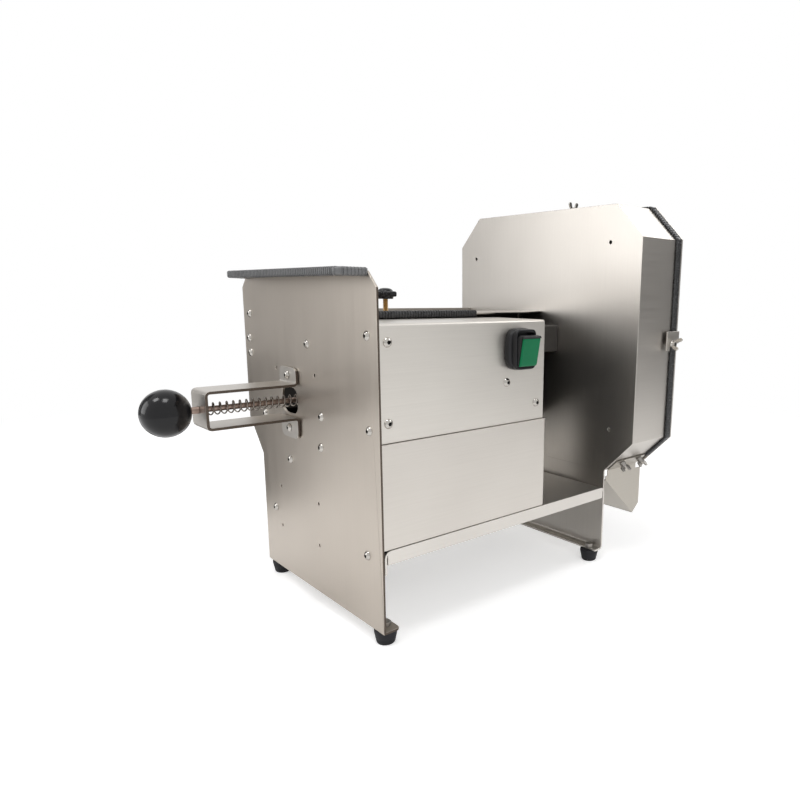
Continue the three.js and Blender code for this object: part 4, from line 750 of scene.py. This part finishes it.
# %% Ball knob and rod
KNOB_RADIUS = 20.0
KNOB_NECK = 8.0
knob_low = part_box("ball_knob")[0]
knob_middle = Vector((knob_low.x + KNOB_RADIUS * MM, middle_of("ball_knob").y, middle_of("ball_knob").z))
neck_angle = math.asin(KNOB_NECK / KNOB_RADIUS)
KNOB_STEPS = 40
BORE_RADIUS = 3.2
BORE_DEEP = 6
neck_end = KNOB_RADIUS * math.cos(neck_angle)
ball = [(0, neck_end - BORE_DEEP), (BORE_RADIUS, neck_end - BORE_DEEP), (BORE_RADIUS, neck_end)]
for i in range(KNOB_STEPS + 1):
    angle = neck_angle + (math.pi - neck_angle) * i / KNOB_STEPS
    ball.append((0 if i == KNOB_STEPS else KNOB_RADIUS * math.sin(angle), KNOB_RADIUS * math.cos(angle)))
knob = turned("ball_knob_finish", ball, knob_middle, (1, 0, 0), 72)
settle(knob, "pusher", "knob_plastic", ["ball_knob"])

rod_low, rod_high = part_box("pusher_rod")
rod_long = (rod_high.x - rod_low.x) / MM
rod_foot = Vector((rod_low.x, knob_middle.y, knob_middle.z))
rod_profile = [(0, 0), (2.1, 0), (2.5, 0.4), (2.5, rod_long - 0.4), (2.1, rod_long), (0, rod_long)]
rod = turned("pusher_rod_finish", rod_profile, rod_foot, (1, 0, 0), 32)
settle(rod, "pusher", "knife_steel", ["pusher_rod"], OILED_ROD)
print("knob and rod")

# %% Feet
FOOT_STEPS = 44
foot_profile = [(0, 0.6), (4.2, 0.6), (5.0, 0), (7.2, 0), (8.0, 0.9), (8.5, 3.2), (8.3, 3.6), (8.7, 4.1),
                (9.8, 9.4), (10.0, 10.4), (10.0, 12.3), (9.6, 12.7), (2.8, 12.7), (2.8, 6.0), (0, 6.0)]
for i in range(1, 5):
    low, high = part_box(f"foot_{i}")
    spot = Vector(((low.x + high.x) / 2, (low.y + high.y) / 2, 0))
    foot = turned(f"foot_{i}_finish", foot_profile, spot, (0, 0, 1), FOOT_STEPS)
    settle(foot, "frame", "black_rubber", [f"foot_{i}"])
print("four feet")

# %% Threaded brass stud
stud_low, stud_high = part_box("star_stud")
STUD_PITCH = 0.8
STUD_DEEP = 0.35
STUD_RADIUS = 2.45
stud_long = (stud_high.z - stud_low.z) / MM
threads = int(stud_long / STUD_PITCH) - 1
stud_profile = [(0, 0), (2.1, 0)]
for i in range(threads):
    stud_profile += [(STUD_RADIUS, STUD_PITCH * (i + 0.5)), (STUD_RADIUS - STUD_DEEP, STUD_PITCH * (i + 1))]
stud_profile += [(2.1, stud_long), (0, stud_long)]
stud_foot = Vector((*middle_of("star_stud")[:2], stud_low.z))
stud = turned("star_stud_finish", stud_profile, stud_foot, (0, 0, 1), 28, 20)
settle(stud, "star", "brass", ["star_stud"])
print("stud with", threads, "threads")

# %% Cord gland
gland_profile = [(2.6, 0), (6, 0), (6, 10.3), (9, 10.3), (9, 15), (8.2, 15.6), (8.2, 24), (7.6, 26),
                 (6.4, 28), (5.0, 28.9), (3.4, 29), (3.4, 18), (2.6, 17), (2.6, 0)]
gland_foot = Vector((middle_of("cord_gland").x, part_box("cord_gland")[0].y, middle_of("cord_gland").z))
gland = turned("cord_gland_finish", gland_profile, gland_foot, (0, 1, 0), 40, 30)
settle(gland, "frame", "black_plastic", ["cord_gland"])
print("gland")

# %% [markdown]
# The spring is one wire wound round the rod. A spiral curve gives its path, and Curve to Mesh sweeps a small
# circle along it. It sits on the frame; on the real slicer it closes up towards the guide bracket when the
# knob is pulled.

# %% Return spring
SPRING_WIRE = 1.2
SPRING_OUTER = 11.5
SPRING_CURLS = 54


def make_spring_tree():
    """A wire wound along X."""
    tree, inside, outside = new_tree("wound_wire", {
        "Curls": 54.0, "Mean Radius": 0.005, "Length": 0.3, "Wire Radius": 0.0006})
    given = inside.outputs
    path = add_node(tree, "GeometryNodeCurveSpiral", {"Resolution": 20}, {
        "Rotations": given["Curls"], "Start Radius": given["Mean Radius"], "End Radius": given["Mean Radius"],
        "Height": given["Length"]})
    lie = add_node(tree, "GeometryNodeTransform", {"Rotation": (0, math.pi / 2, 0)},
                   {"Geometry": path.outputs[0]})
    ring = add_node(tree, "GeometryNodeCurvePrimitiveCircle", {"Resolution": 10}, {
        "Radius": given["Wire Radius"]}, mode="RADIUS")
    wire = add_node(tree, "GeometryNodeCurveToMesh", {"Fill Caps": True}, {
        "Curve": lie.outputs[0], "Profile Curve": ring.outputs[0]})
    end_tree(tree, outside, wire.outputs[0], SPRING_WIRE_FINISH)
    return tree


spring_low, spring_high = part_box("return_spring")
spring = grow(points_mesh("return_spring_finish", [(Vector(), Vector((1, 0, 0)))]), make_spring_tree(), {
    "Curls": float(SPRING_CURLS), "Mean Radius": (SPRING_OUTER - SPRING_WIRE) / 2 * MM,
    "Length": spring_high.x - spring_low.x - SPRING_WIRE * MM, "Wire Radius": SPRING_WIRE / 2 * MM}, 60)
spring.data.transform(Matrix.Translation((spring_low.x + SPRING_WIRE / 2 * MM, knob_middle.y, knob_middle.z)))
settle(spring, "frame", "knife_steel", ["return_spring"], SPRING_WIRE_FINISH)
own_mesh(spring)

# %% [markdown]
# The switch is a rubber-booted rocker. Its boot has bulging sides and steps up to a raised frame, so it is
# lofted through rings of one formula: a superellipse is round at a low power and nearly square at a high one.

# %% Switch boot
BOOT_STEPS = 72
BOOT_RINGS = [
    (11.0, 15.0, 8.0, -24.0), (11.0, 15.0, 8.0, 0.0), (16.3, 19.1, 3.3, 0.0), (16.3, 19.1, 3.3, 4.0),
    (16.1, 18.95, 3.3, 5.0), (15.5, 18.7, 3.3, 5.9), (14.6, 18.45, 3.5, 6.4), (13.9, 18.3, 4.0, 6.5),
    (12.9, 18.2, 6.0, 6.6), (12.8, 18.2, 7.0, 7.0), (12.8, 18.2, 7.0, 10.7), (12.6, 18.0, 7.0, 11.2),
    (12.2, 17.5, 8.0, 11.5), (11.9, 17.0, 9.0, 11.5), (11.7, 16.6, 10.0, 10.9), (11.6, 15.5, 12.0, 10.7),
    (11.6, 15.5, 12.0, 4.0),
]


def superellipse(wide, high, power, steps):
    """Points (x, z) in mm of a closed outline between an ellipse and a rectangle."""
    points = []
    for i in range(steps):
        c, s = math.cos(math.tau * i / steps), math.sin(math.tau * i / steps)
        reach = (abs(c / wide) ** power + abs(s / high) ** power) ** (-1 / power)
        points.append((reach * c, reach * s))
    return points


def lofted(name, rings, smooth=35):
    """A closed mesh through rings of equal numbers of points."""
    work = bmesh.new()
    rows = [[work.verts.new(point) for point in ring] for ring in rings]
    for below, over in zip(rows, rows[1:]):
        for i in range(len(below)):
            j = (i + 1) % len(below)
            work.faces.new((below[i], below[j], over[j], over[i]))
    work.faces.new(list(reversed(rows[0])))
    work.faces.new(rows[-1])
    bmesh.ops.recalc_face_normals(work, faces=work.faces)
    return link_mesh(name, mesh_of(work, name, smooth))


BOOT_BODY_DEEP = 24.0
bezel_x, bezel_z = middle_of("switch_bezel").x, middle_of("switch_bezel").z
bezel_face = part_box("switch_bezel")[1].y - BOOT_BODY_DEEP * MM
boot_rings = [[Vector((bezel_x + x * MM, bezel_face - reach * MM, bezel_z + z * MM))
               for x, z in superellipse(wide, high, power, BOOT_STEPS)]
              for wide, high, power, reach in BOOT_RINGS]
boot = lofted("switch_bezel_finish", boot_rings, 40)
settle(boot, "frame", "black_plastic", ["switch_bezel"])
print("boot", len(boot.data.polygons), "faces")

# %% [markdown]
# The rocker is a black carrier under a green lens. Both are cut from one welded copy of the CAD rocker, by a
# plane that runs level with its tilted face.

# %% Slices of the rocker
LENS_THICK = 2.6
LENS_IN = 0.8
LENS_TOP_IN = 1.9
rocker_joint = next(joint for joint in record["behaviour"]["joints"] if joint["name"] == "rocker_tilt")
rocker_pivot = Vector(rocker_joint["pos_m"])
ROCKER_TILT = math.radians(10)
ROCKER_REACH = 9.4
ROCKER_HALF = 14.0
rocker_out = Vector((0, -math.cos(ROCKER_TILT), -math.sin(ROCKER_TILT)))
rocker_up = Vector((0, -math.sin(ROCKER_TILT), math.cos(ROCKER_TILT)))
lens_floor = rocker_pivot + rocker_out * (ROCKER_REACH - LENS_THICK) * MM
lens_top = rocker_pivot + rocker_up * (ROCKER_HALF - LENS_TOP_IN) * MM


def rocker_slice(name, planes, inset=0.0):
    """The part of the rocker on the side of each plane that its direction points to."""
    work = bmesh.new()
    work.from_mesh(welded_mesh("switch_rocker"))
    for point, direction in planes:
        cut = bmesh.ops.bisect_plane(work, geom=work.verts[:] + work.edges[:] + work.faces[:], plane_co=point,
                                     plane_no=direction, clear_inner=True)
        open_edges = [piece for piece in cut["geom_cut"] if isinstance(piece, bmesh.types.BMEdge)]
        bmesh.ops.edgeloop_fill(work, edges=open_edges)
    low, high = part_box("switch_rocker")
    middle = (low.x + high.x) / 2
    half = (high.x - low.x) / 2
    for vertex in work.verts:
        vertex.co.x = middle + (vertex.co.x - middle) * (1 - inset * MM / half)
    bmesh.ops.recalc_face_normals(work, faces=work.faces)
    return link_mesh(name, mesh_of(work, name))


def joined(first, second):
    """Two pieces of one body as one object."""
    with bpy.context.temp_override(active_object=first, selected_editable_objects=[first, second]):
        bpy.ops.object.join()
    return first


# %% Carrier and lens
PIECE_SHARP = 25
carrier = rocker_slice("switch_rocker_finish", [(lens_floor, -rocker_out)])
round_edges(carrier, 0.5, 3, PIECE_SHARP, True)
brow = rocker_slice("rocker_brow", [(lens_floor, rocker_out), (lens_top, rocker_up)])
round_edges(brow, 0.5, 3, PIECE_SHARP, True)
settle(joined(carrier, brow), "rocker", "black_plastic", ["switch_rocker"])
lens = rocker_slice("switch_lens", [(lens_floor, rocker_out), (lens_top, -rocker_up)], LENS_IN)
round_edges(lens, 1.1, 4, PIECE_SHARP, True)
settle(lens, "rocker", "green_plastic")
print("rocker", len(carrier.data.polygons), "faces, lens", len(lens.data.polygons))

# %% [markdown]
# Rubber edge strip has close ribs across it, which keep it flexible round a corner. One Geometry Nodes tree
# puts a thin rounded hoop at each step along a path. The paths are the outlines of the CAD strips, without
# the side where each strip is open.

# %% Strip ribs
RIB_PITCH = 3.0
RIB_WIDE = 1.0
RIB_PROUD = 0.4
RIB_ROUND = 1.7
SHORTEST_RUN = 0.5
PATH_STEP = 4


def make_rib_tree():
    """A thin rounded hoop at each step along a path, turned so that its back looks along "out"."""
    tree, inside, outside = new_tree("strip_ribs", {
        "Pitch": 0.002, "Rib Width": 0.001, "Across": 0.006, "Deep": 0.01, "Round": 0.0015})
    given = inside.outputs
    path = add_node(tree, "GeometryNodeMeshToCurve", links={"Mesh": given[0]})
    steps = add_node(tree, "GeometryNodeResampleCurve", mode="LENGTH", links={
        "Curve": path.outputs[0], "Length": given["Pitch"]})
    outline = add_node(tree, "GeometryNodeCurvePrimitiveQuadrilateral", links={
        "Width": given["Across"], "Height": given["Deep"]})
    soft = add_node(tree, "GeometryNodeFilletCurve", {"Count": 3}, {
        "Curve": outline.outputs[0], "Radius": given["Round"]}, mode="POLY")
    ends = add_node(tree, "ShaderNodeCombineXYZ", links={"Z": given["Rib Width"]})
    short = add_node(tree, "GeometryNodeCurvePrimitiveLine", links={"End": ends.outputs[0]})
    hoop = add_node(tree, "GeometryNodeCurveToMesh", {"Fill Caps": True}, {
        "Curve": short.outputs[0], "Profile Curve": soft.outputs[0]})
    along = add_node(tree, "GeometryNodeInputTangent")
    out = add_node(tree, "GeometryNodeInputNamedAttribute", {"Name": "out"}, data_type="FLOAT_VECTOR")
    face = add_node(tree, "FunctionNodeAlignRotationToVector", links={"Vector": along.outputs[0]})
    face.axis = "Z"
    turn = add_node(tree, "FunctionNodeAlignRotationToVector", links={
        "Rotation": face.outputs[0], "Vector": out.outputs[0]})
    turn.axis = "Y"
    turn.pivot_axis = "Z"
    hoops = add_node(tree, "GeometryNodeInstanceOnPoints", links={
        "Points": steps.outputs[0], "Instance": hoop.outputs[0], "Rotation": turn.outputs[0]})
    end_tree(tree, outside, hoops.outputs[0], STRIP_RUBBER_PAINTED_SHEEN)
    return tree


# %% Paths for the ribs
def outline_path(node, axes, open_side):
    """A node's outer outline in a plane, from one side of its open edge to the other."""
    points = [Vector((vertex.co[axes[0]], vertex.co[axes[1]])) for vertex in nodes[node].data.vertices]
    hull = [points[i] for i in convex_hull_2d(points)]
    count = len(hull)
    gap = max(range(count), key=lambda i: ((hull[i] + hull[(i + 1) % count]) / 2).dot(open_side))
    return [hull[(gap + 1 + i) % count] for i in range(count)]


def rib_path(name, corners, place, inward):
    """A chain of short edges along a path, moved in from the outline, with "out" on each point."""
    spots, outs = [], []
    for start, end in zip(corners, corners[1:]):
        run = end - start
        if run.length < SHORTEST_RUN * MM:
            continue
        out = Vector((run.y, -run.x)).normalized()
        count = max(2, round(run.length / (PATH_STEP * MM)))
        for i in range(count):
            spots.append(start + run * (i + 0.5) / count - out * inward)
            outs.append(out)
    mesh = bpy.data.meshes.new(name)
    mesh.from_pydata([place(spot) for spot in spots], [(i, i + 1) for i in range(len(spots) - 1)], [])
    zero = place(Vector((0, 0)))
    attribute = mesh.attributes.new("out", "FLOAT_VECTOR", "POINT")
    attribute.data.foreach_set("vector", [number for out in outs for number in place(out) - zero])
    return link_mesh(name, mesh)


# %% Edge strips
rib_tree = make_rib_tree()
plate_strip_z = middle_of("side_plate_strip").z
rim_strip_x = middle_of("housing_strip").x
deck_strip_z = middle_of("deck_strip").z
deck_low, deck_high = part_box("deck_strip")
STRIPS = {
    # The side plate's strip and its ribs get the lighter rubber, a painted sheen.
    "side_plate_strip": dict(
        corners=outline_path("side_plate_strip", (0, 1), Vector((1, 0))), finish=STRIP_RUBBER_PAINTED_SHEEN,
        place=lambda spot: Vector((spot.x, spot.y, plate_strip_z)), deep=11.0, across=5.9, width=1.5),
    "housing_strip": dict(
        corners=outline_path("housing_strip", (1, 2), Vector((0, -1))), finish=KNURLED_RUBBER,
        place=lambda spot: Vector((rim_strip_x, spot.x, spot.y)), deep=7.0, across=8.2, width=1.4),
    "deck_strip": dict(
        corners=[Vector((deck_low.x, deck_low.y)), Vector((deck_high.x, deck_low.y))], finish=KNURLED_RUBBER,
        place=lambda spot: Vector((spot.x, spot.y, deck_strip_z)), deep=11.0, across=5.9, width=1.5),
}
for strip, facts in STRIPS.items():
    broken_edges(strip, facts["width"], segments=3, finish=facts["finish"])
    half_deep = facts["deep"] / 2 * MM
    chain = rib_path(strip + "_ribs", facts["corners"], facts["place"], half_deep)
    ribs = grow(chain, rib_tree, {
        "Pitch": RIB_PITCH * MM, "Rib Width": RIB_WIDE * MM, "Across": (facts["across"] + 2 * RIB_PROUD) * MM,
        "Deep": (facts["deep"] + 2 * RIB_PROUD) * MM, "Round": RIB_ROUND * MM})
    settle(ribs, "frame", "black_rubber", finish=facts["finish"])
    print(strip, "ribs", len(ribs.data.polygons), "faces")

# %% [markdown]
# The star knob is a moulding with six lobes under a low dome. It is made of rings round an axis, and each
# ring's radius falls and rises six times round, by an amount that fades out towards the hub and the dome.

# %% Star knob
STAR_STEPS = 96
STAR_LOBES = 6
STAR_RINGS = [
    (2.9, 0, 6.0), (2.9, 0, 0), (6.9, 0, 0), (7.35, 0, 0.5), (7.35, 0, 1.7), (8.6, 0.8, 2.0),
    (10.6, 2.6, 2.2), (11.2, 3.0, 2.7), (11.4, 3.0, 3.6), (11.4, 3.0, 5.6), (11.15, 3.0, 6.4),
    (10.5, 2.7, 6.85), (8.9, 1.6, 7.0), (7.4, 0.4, 7.2), (6.8, 0, 7.9), (5.8, 0, 8.9), (4.2, 0, 9.6),
    (2.2, 0, 9.95), (0.6, 0, 10.0),
]
star_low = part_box("star_knob")[0]
star_middle = middle_of("star_stud")
star_rings = []
for reach, lobe, height in STAR_RINGS:
    ring = []
    for i in range(STAR_STEPS):
        angle = math.tau * i / STAR_STEPS
        radius = reach - lobe / 2 + lobe / 2 * math.cos(STAR_LOBES * angle)
        ring.append(Vector((star_middle.x + radius * MM * math.cos(angle),
                            star_middle.y + radius * MM * math.sin(angle), star_low.z + height * MM)))
    star_rings.append(ring)
star = lofted("star_knob_finish", star_rings, 40)
settle(star, "star", "black_plastic", ["star_knob"], FINISHES["knob_plastic"])
print("star knob", len(star.data.polygons), "faces")

# %% [markdown]
# Wing screws are pressed from soft steel: a short hub with two ears that lean outwards. The ears are a
# rounded outline given a thickness, and the hub and shank are turned. The near one is left part way round.

# %% Wing screws
WING_SPAN = 16.0
WING_HIGH = 11.0
EAR_THICK = 1.7
HUB_HIGH = 5.0


def ear_outline():
    """One ear in mm, from the hub out and up to its round tip."""
    tip = WING_SPAN / 2
    points = [(1.0, 1.0), (3.0, 0.9), (tip - 1.6, WING_HIGH * 0.42)]
    middle, radius = (tip - 2.3, WING_HIGH - 2.4), 2.3
    for i in range(9):
        angle = math.radians(-25 + 205 * i / 8)
        points.append((middle[0] + radius * math.cos(angle), middle[1] + radius * math.sin(angle)))
    points += [(2.2, HUB_HIGH - 0.6), (1.0, HUB_HIGH - 0.6)]
    return points


def winged(node, foot, out, shank, twist):
    """A wing screw whose ears lie along X or are turned from it, on a foot point and along a direction."""
    work = bmesh.new()
    for side in (1, -1):
        outline = [work.verts.new((side * u * MM, v * MM, -EAR_THICK / 2 * MM))
                   for u, v in ear_outline()]
        ear = work.faces.new(outline)
        grown = bmesh.ops.extrude_face_region(work, geom=[ear])
        moved = [piece for piece in grown["geom"] if isinstance(piece, bmesh.types.BMVert)]
        bmesh.ops.translate(work, vec=(0, 0, EAR_THICK * MM), verts=moved)
    bmesh.ops.recalc_face_normals(work, faces=work.faces)
    along = Quaternion(out, math.radians(twist)) @ Vector((1, 0, 0))
    turn = Matrix((along, out, along.cross(out))).transposed().to_4x4()
    bmesh.ops.transform(work, matrix=Matrix.Translation(foot) @ turn, verts=work.verts)
    ears = link_mesh(node + "_ears", mesh_of(work, node + "_ears"))
    round_edges(ears, 0.45, 2, PIECE_SHARP, True)
    hub_profile = [(0, -shank), (1.9, -shank), (2.45, 0.6 - shank), (2.45, 0.35), (3.6, 0.35), (3.6, 1.1),
                   (3.2, 1.6), (2.9, HUB_HIGH - 0.4), (2.5, HUB_HIGH), (0, HUB_HIGH)]
    hub = turned(node + "_finish", hub_profile, foot, out, 32)
    return settle(joined(hub, ears), body_of_node[node], slot_of_node[node], [node], BRIGHT_SCREW)


# %% Screws of the three clips
CLIP_TWIST = 52.0
WING_OUT = {"near": Vector((0, -1, 0)), "top": Vector((0, 0, 1)), "far": Vector((0, 1, 0))}
for side, out in WING_OUT.items():
    node = f"clip_screw_{side}"
    near_end, far_end = sorted(corner.dot(out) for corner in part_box(node))
    middle = middle_of(node)
    foot = middle + out * (far_end - WING_HIGH * MM - middle.dot(out))
    shank = (far_end - near_end) / MM - WING_HIGH
    made = winged(node, foot, out, shank, CLIP_TWIST if side == "near" else 0.0)
print("clip screws", len(made.data.polygons), "faces each")

# %% [markdown]
# The small pieces keep their CAD shapes, and only get their edges broken. The exception is the locknut behind
# the ball knob, which is a turned collar.

# %% Small pieces and the locknut
broken_edges("bearing_block", 0.6, finish=BLOCK_PAINT)
nut_low, nut_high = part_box("knob_locknut")
nut_long = (nut_high.x - nut_low.x) / MM
nut_profile = [(2.7, 0), (3.1, 0.3), (3.1, nut_long - 0.3), (2.7, nut_long), (2.55, nut_long), (2.55, 0),
               (2.7, 0)]
nut_foot = Vector((nut_low.x, knob_middle.y, knob_middle.z))
collar = turned("knob_locknut_finish", nut_profile, nut_foot, (1, 0, 0), 32)
settle(collar, "pusher", "dark_steel", ["knob_locknut"], OILED_ROD)
SMALL = {"chute_nut_near_1": 0.25, "chute_nut_near_2": 0.25, "chute_nut_far_1": 0.25,
         "chute_nut_far_2": 0.25, "knife_disc": 0.3, "knife_1": 0.2, "knife_2": 0.2}
for small, width in SMALL.items():
    broken_edges(small, width)
print(len(SMALL), "small pieces")

# %% [markdown]
# The floor is pale and keeps the object's shadow, and runs out into the white of the background. Three matt
# grey cards stand to the right of the machine and behind it, as a photographer sets them, so that some sheets
# show a darker tone than others.

# %% Floor
FLOOR_HALF = 8.0
FLOOR_WHITE = 0.85
FLOOR_GLOW = 0.45
FLOOR_SHADE = (0.08, 0.22)
FLOOR_FADE = (0.7, 1.3)


def matt_sheet(name, corners, tone, rough):
    """A single face with a plain grey finish, its material's tree and its shader."""
    mesh = bpy.data.meshes.new(name)
    mesh.from_pydata(corners, [], [(0, 1, 2, 3)])
    material, tree, shader = new_finish(name + "_paint")
    shader.inputs["Base Color"].default_value = (tone, tone, tone, 1)
    shader.inputs["Roughness"].default_value = rough
    mesh.materials.append(material)
    return link_mesh(name, mesh), tree, shader


def add_floor(half):
    """A wide pale floor that keeps the object's shadow and runs out into the white background."""
    corners = [(-half, -half, 0), (half, -half, 0), (half, half, 0), (-half, half, 0)]
    floor, tree, shader = matt_sheet("floor", corners, FLOOR_WHITE, 0.9)
    shader.inputs["Emission Color"].default_value = (1, 1, 1, 1)
    place = add_node(tree, "ShaderNodeTexCoord")
    away = add_node(tree, "ShaderNodeVectorMath", links={0: place.outputs["Object"]}, operation="LENGTH")
    shade, fade = (
        add_node(tree, "ShaderNodeMapRange", {"From Min": start, "From Max": end},
                 {"Value": away.outputs["Value"]}, interpolation_type="SMOOTHSTEP").outputs[0]
        for start, end in (FLOOR_SHADE, FLOOR_FADE))
    seen = background_rays(tree, shade)
    tree.links.new(math_node(tree, "MULTIPLY", seen, FLOOR_GLOW), shader.inputs["Emission Strength"])
    white = add_node(tree, "ShaderNodeEmission", {"Color": (1, 1, 1, 1), "Strength": 1.0})
    mix = add_node(tree, "ShaderNodeMixShader", links={
        0: math_node(tree, "MULTIPLY", fade, seen), 1: shader.outputs[0], 2: white.outputs[0]})
    tree.links.new(mix.outputs[0], tree.nodes["Material Output"].inputs["Surface"])


add_floor(FLOOR_HALF)
print("floor", 2 * FLOOR_HALF, "m wide")

# %% Cards
CARDS = {
    "right_card": dict(start=(1.3, -1.5), end=(1.3, -0.15), high=0.7, tone=0.12),
    "rear_card": dict(start=(-1.2, 1.3), end=(-0.4, 1.3), high=1.5, tone=0.27),
    "low_card": dict(start=(-0.27, 0.32), end=(0.12, 0.32), high=0.21, tone=0.05),
}


def add_card(name, start, end, high, tone):
    """An upright grey card that only reflections see, so that it darkens the steel alone."""
    card = matt_sheet(name, [(*start, 0), (*end, 0), (*end, high), (*start, high)], tone, 1.0)[0]
    card.visible_camera = False
    card.visible_diffuse = False
    card.visible_shadow = False


for card_name, facts in CARDS.items():
    add_card(card_name, **facts)
print(len(CARDS), "cards")
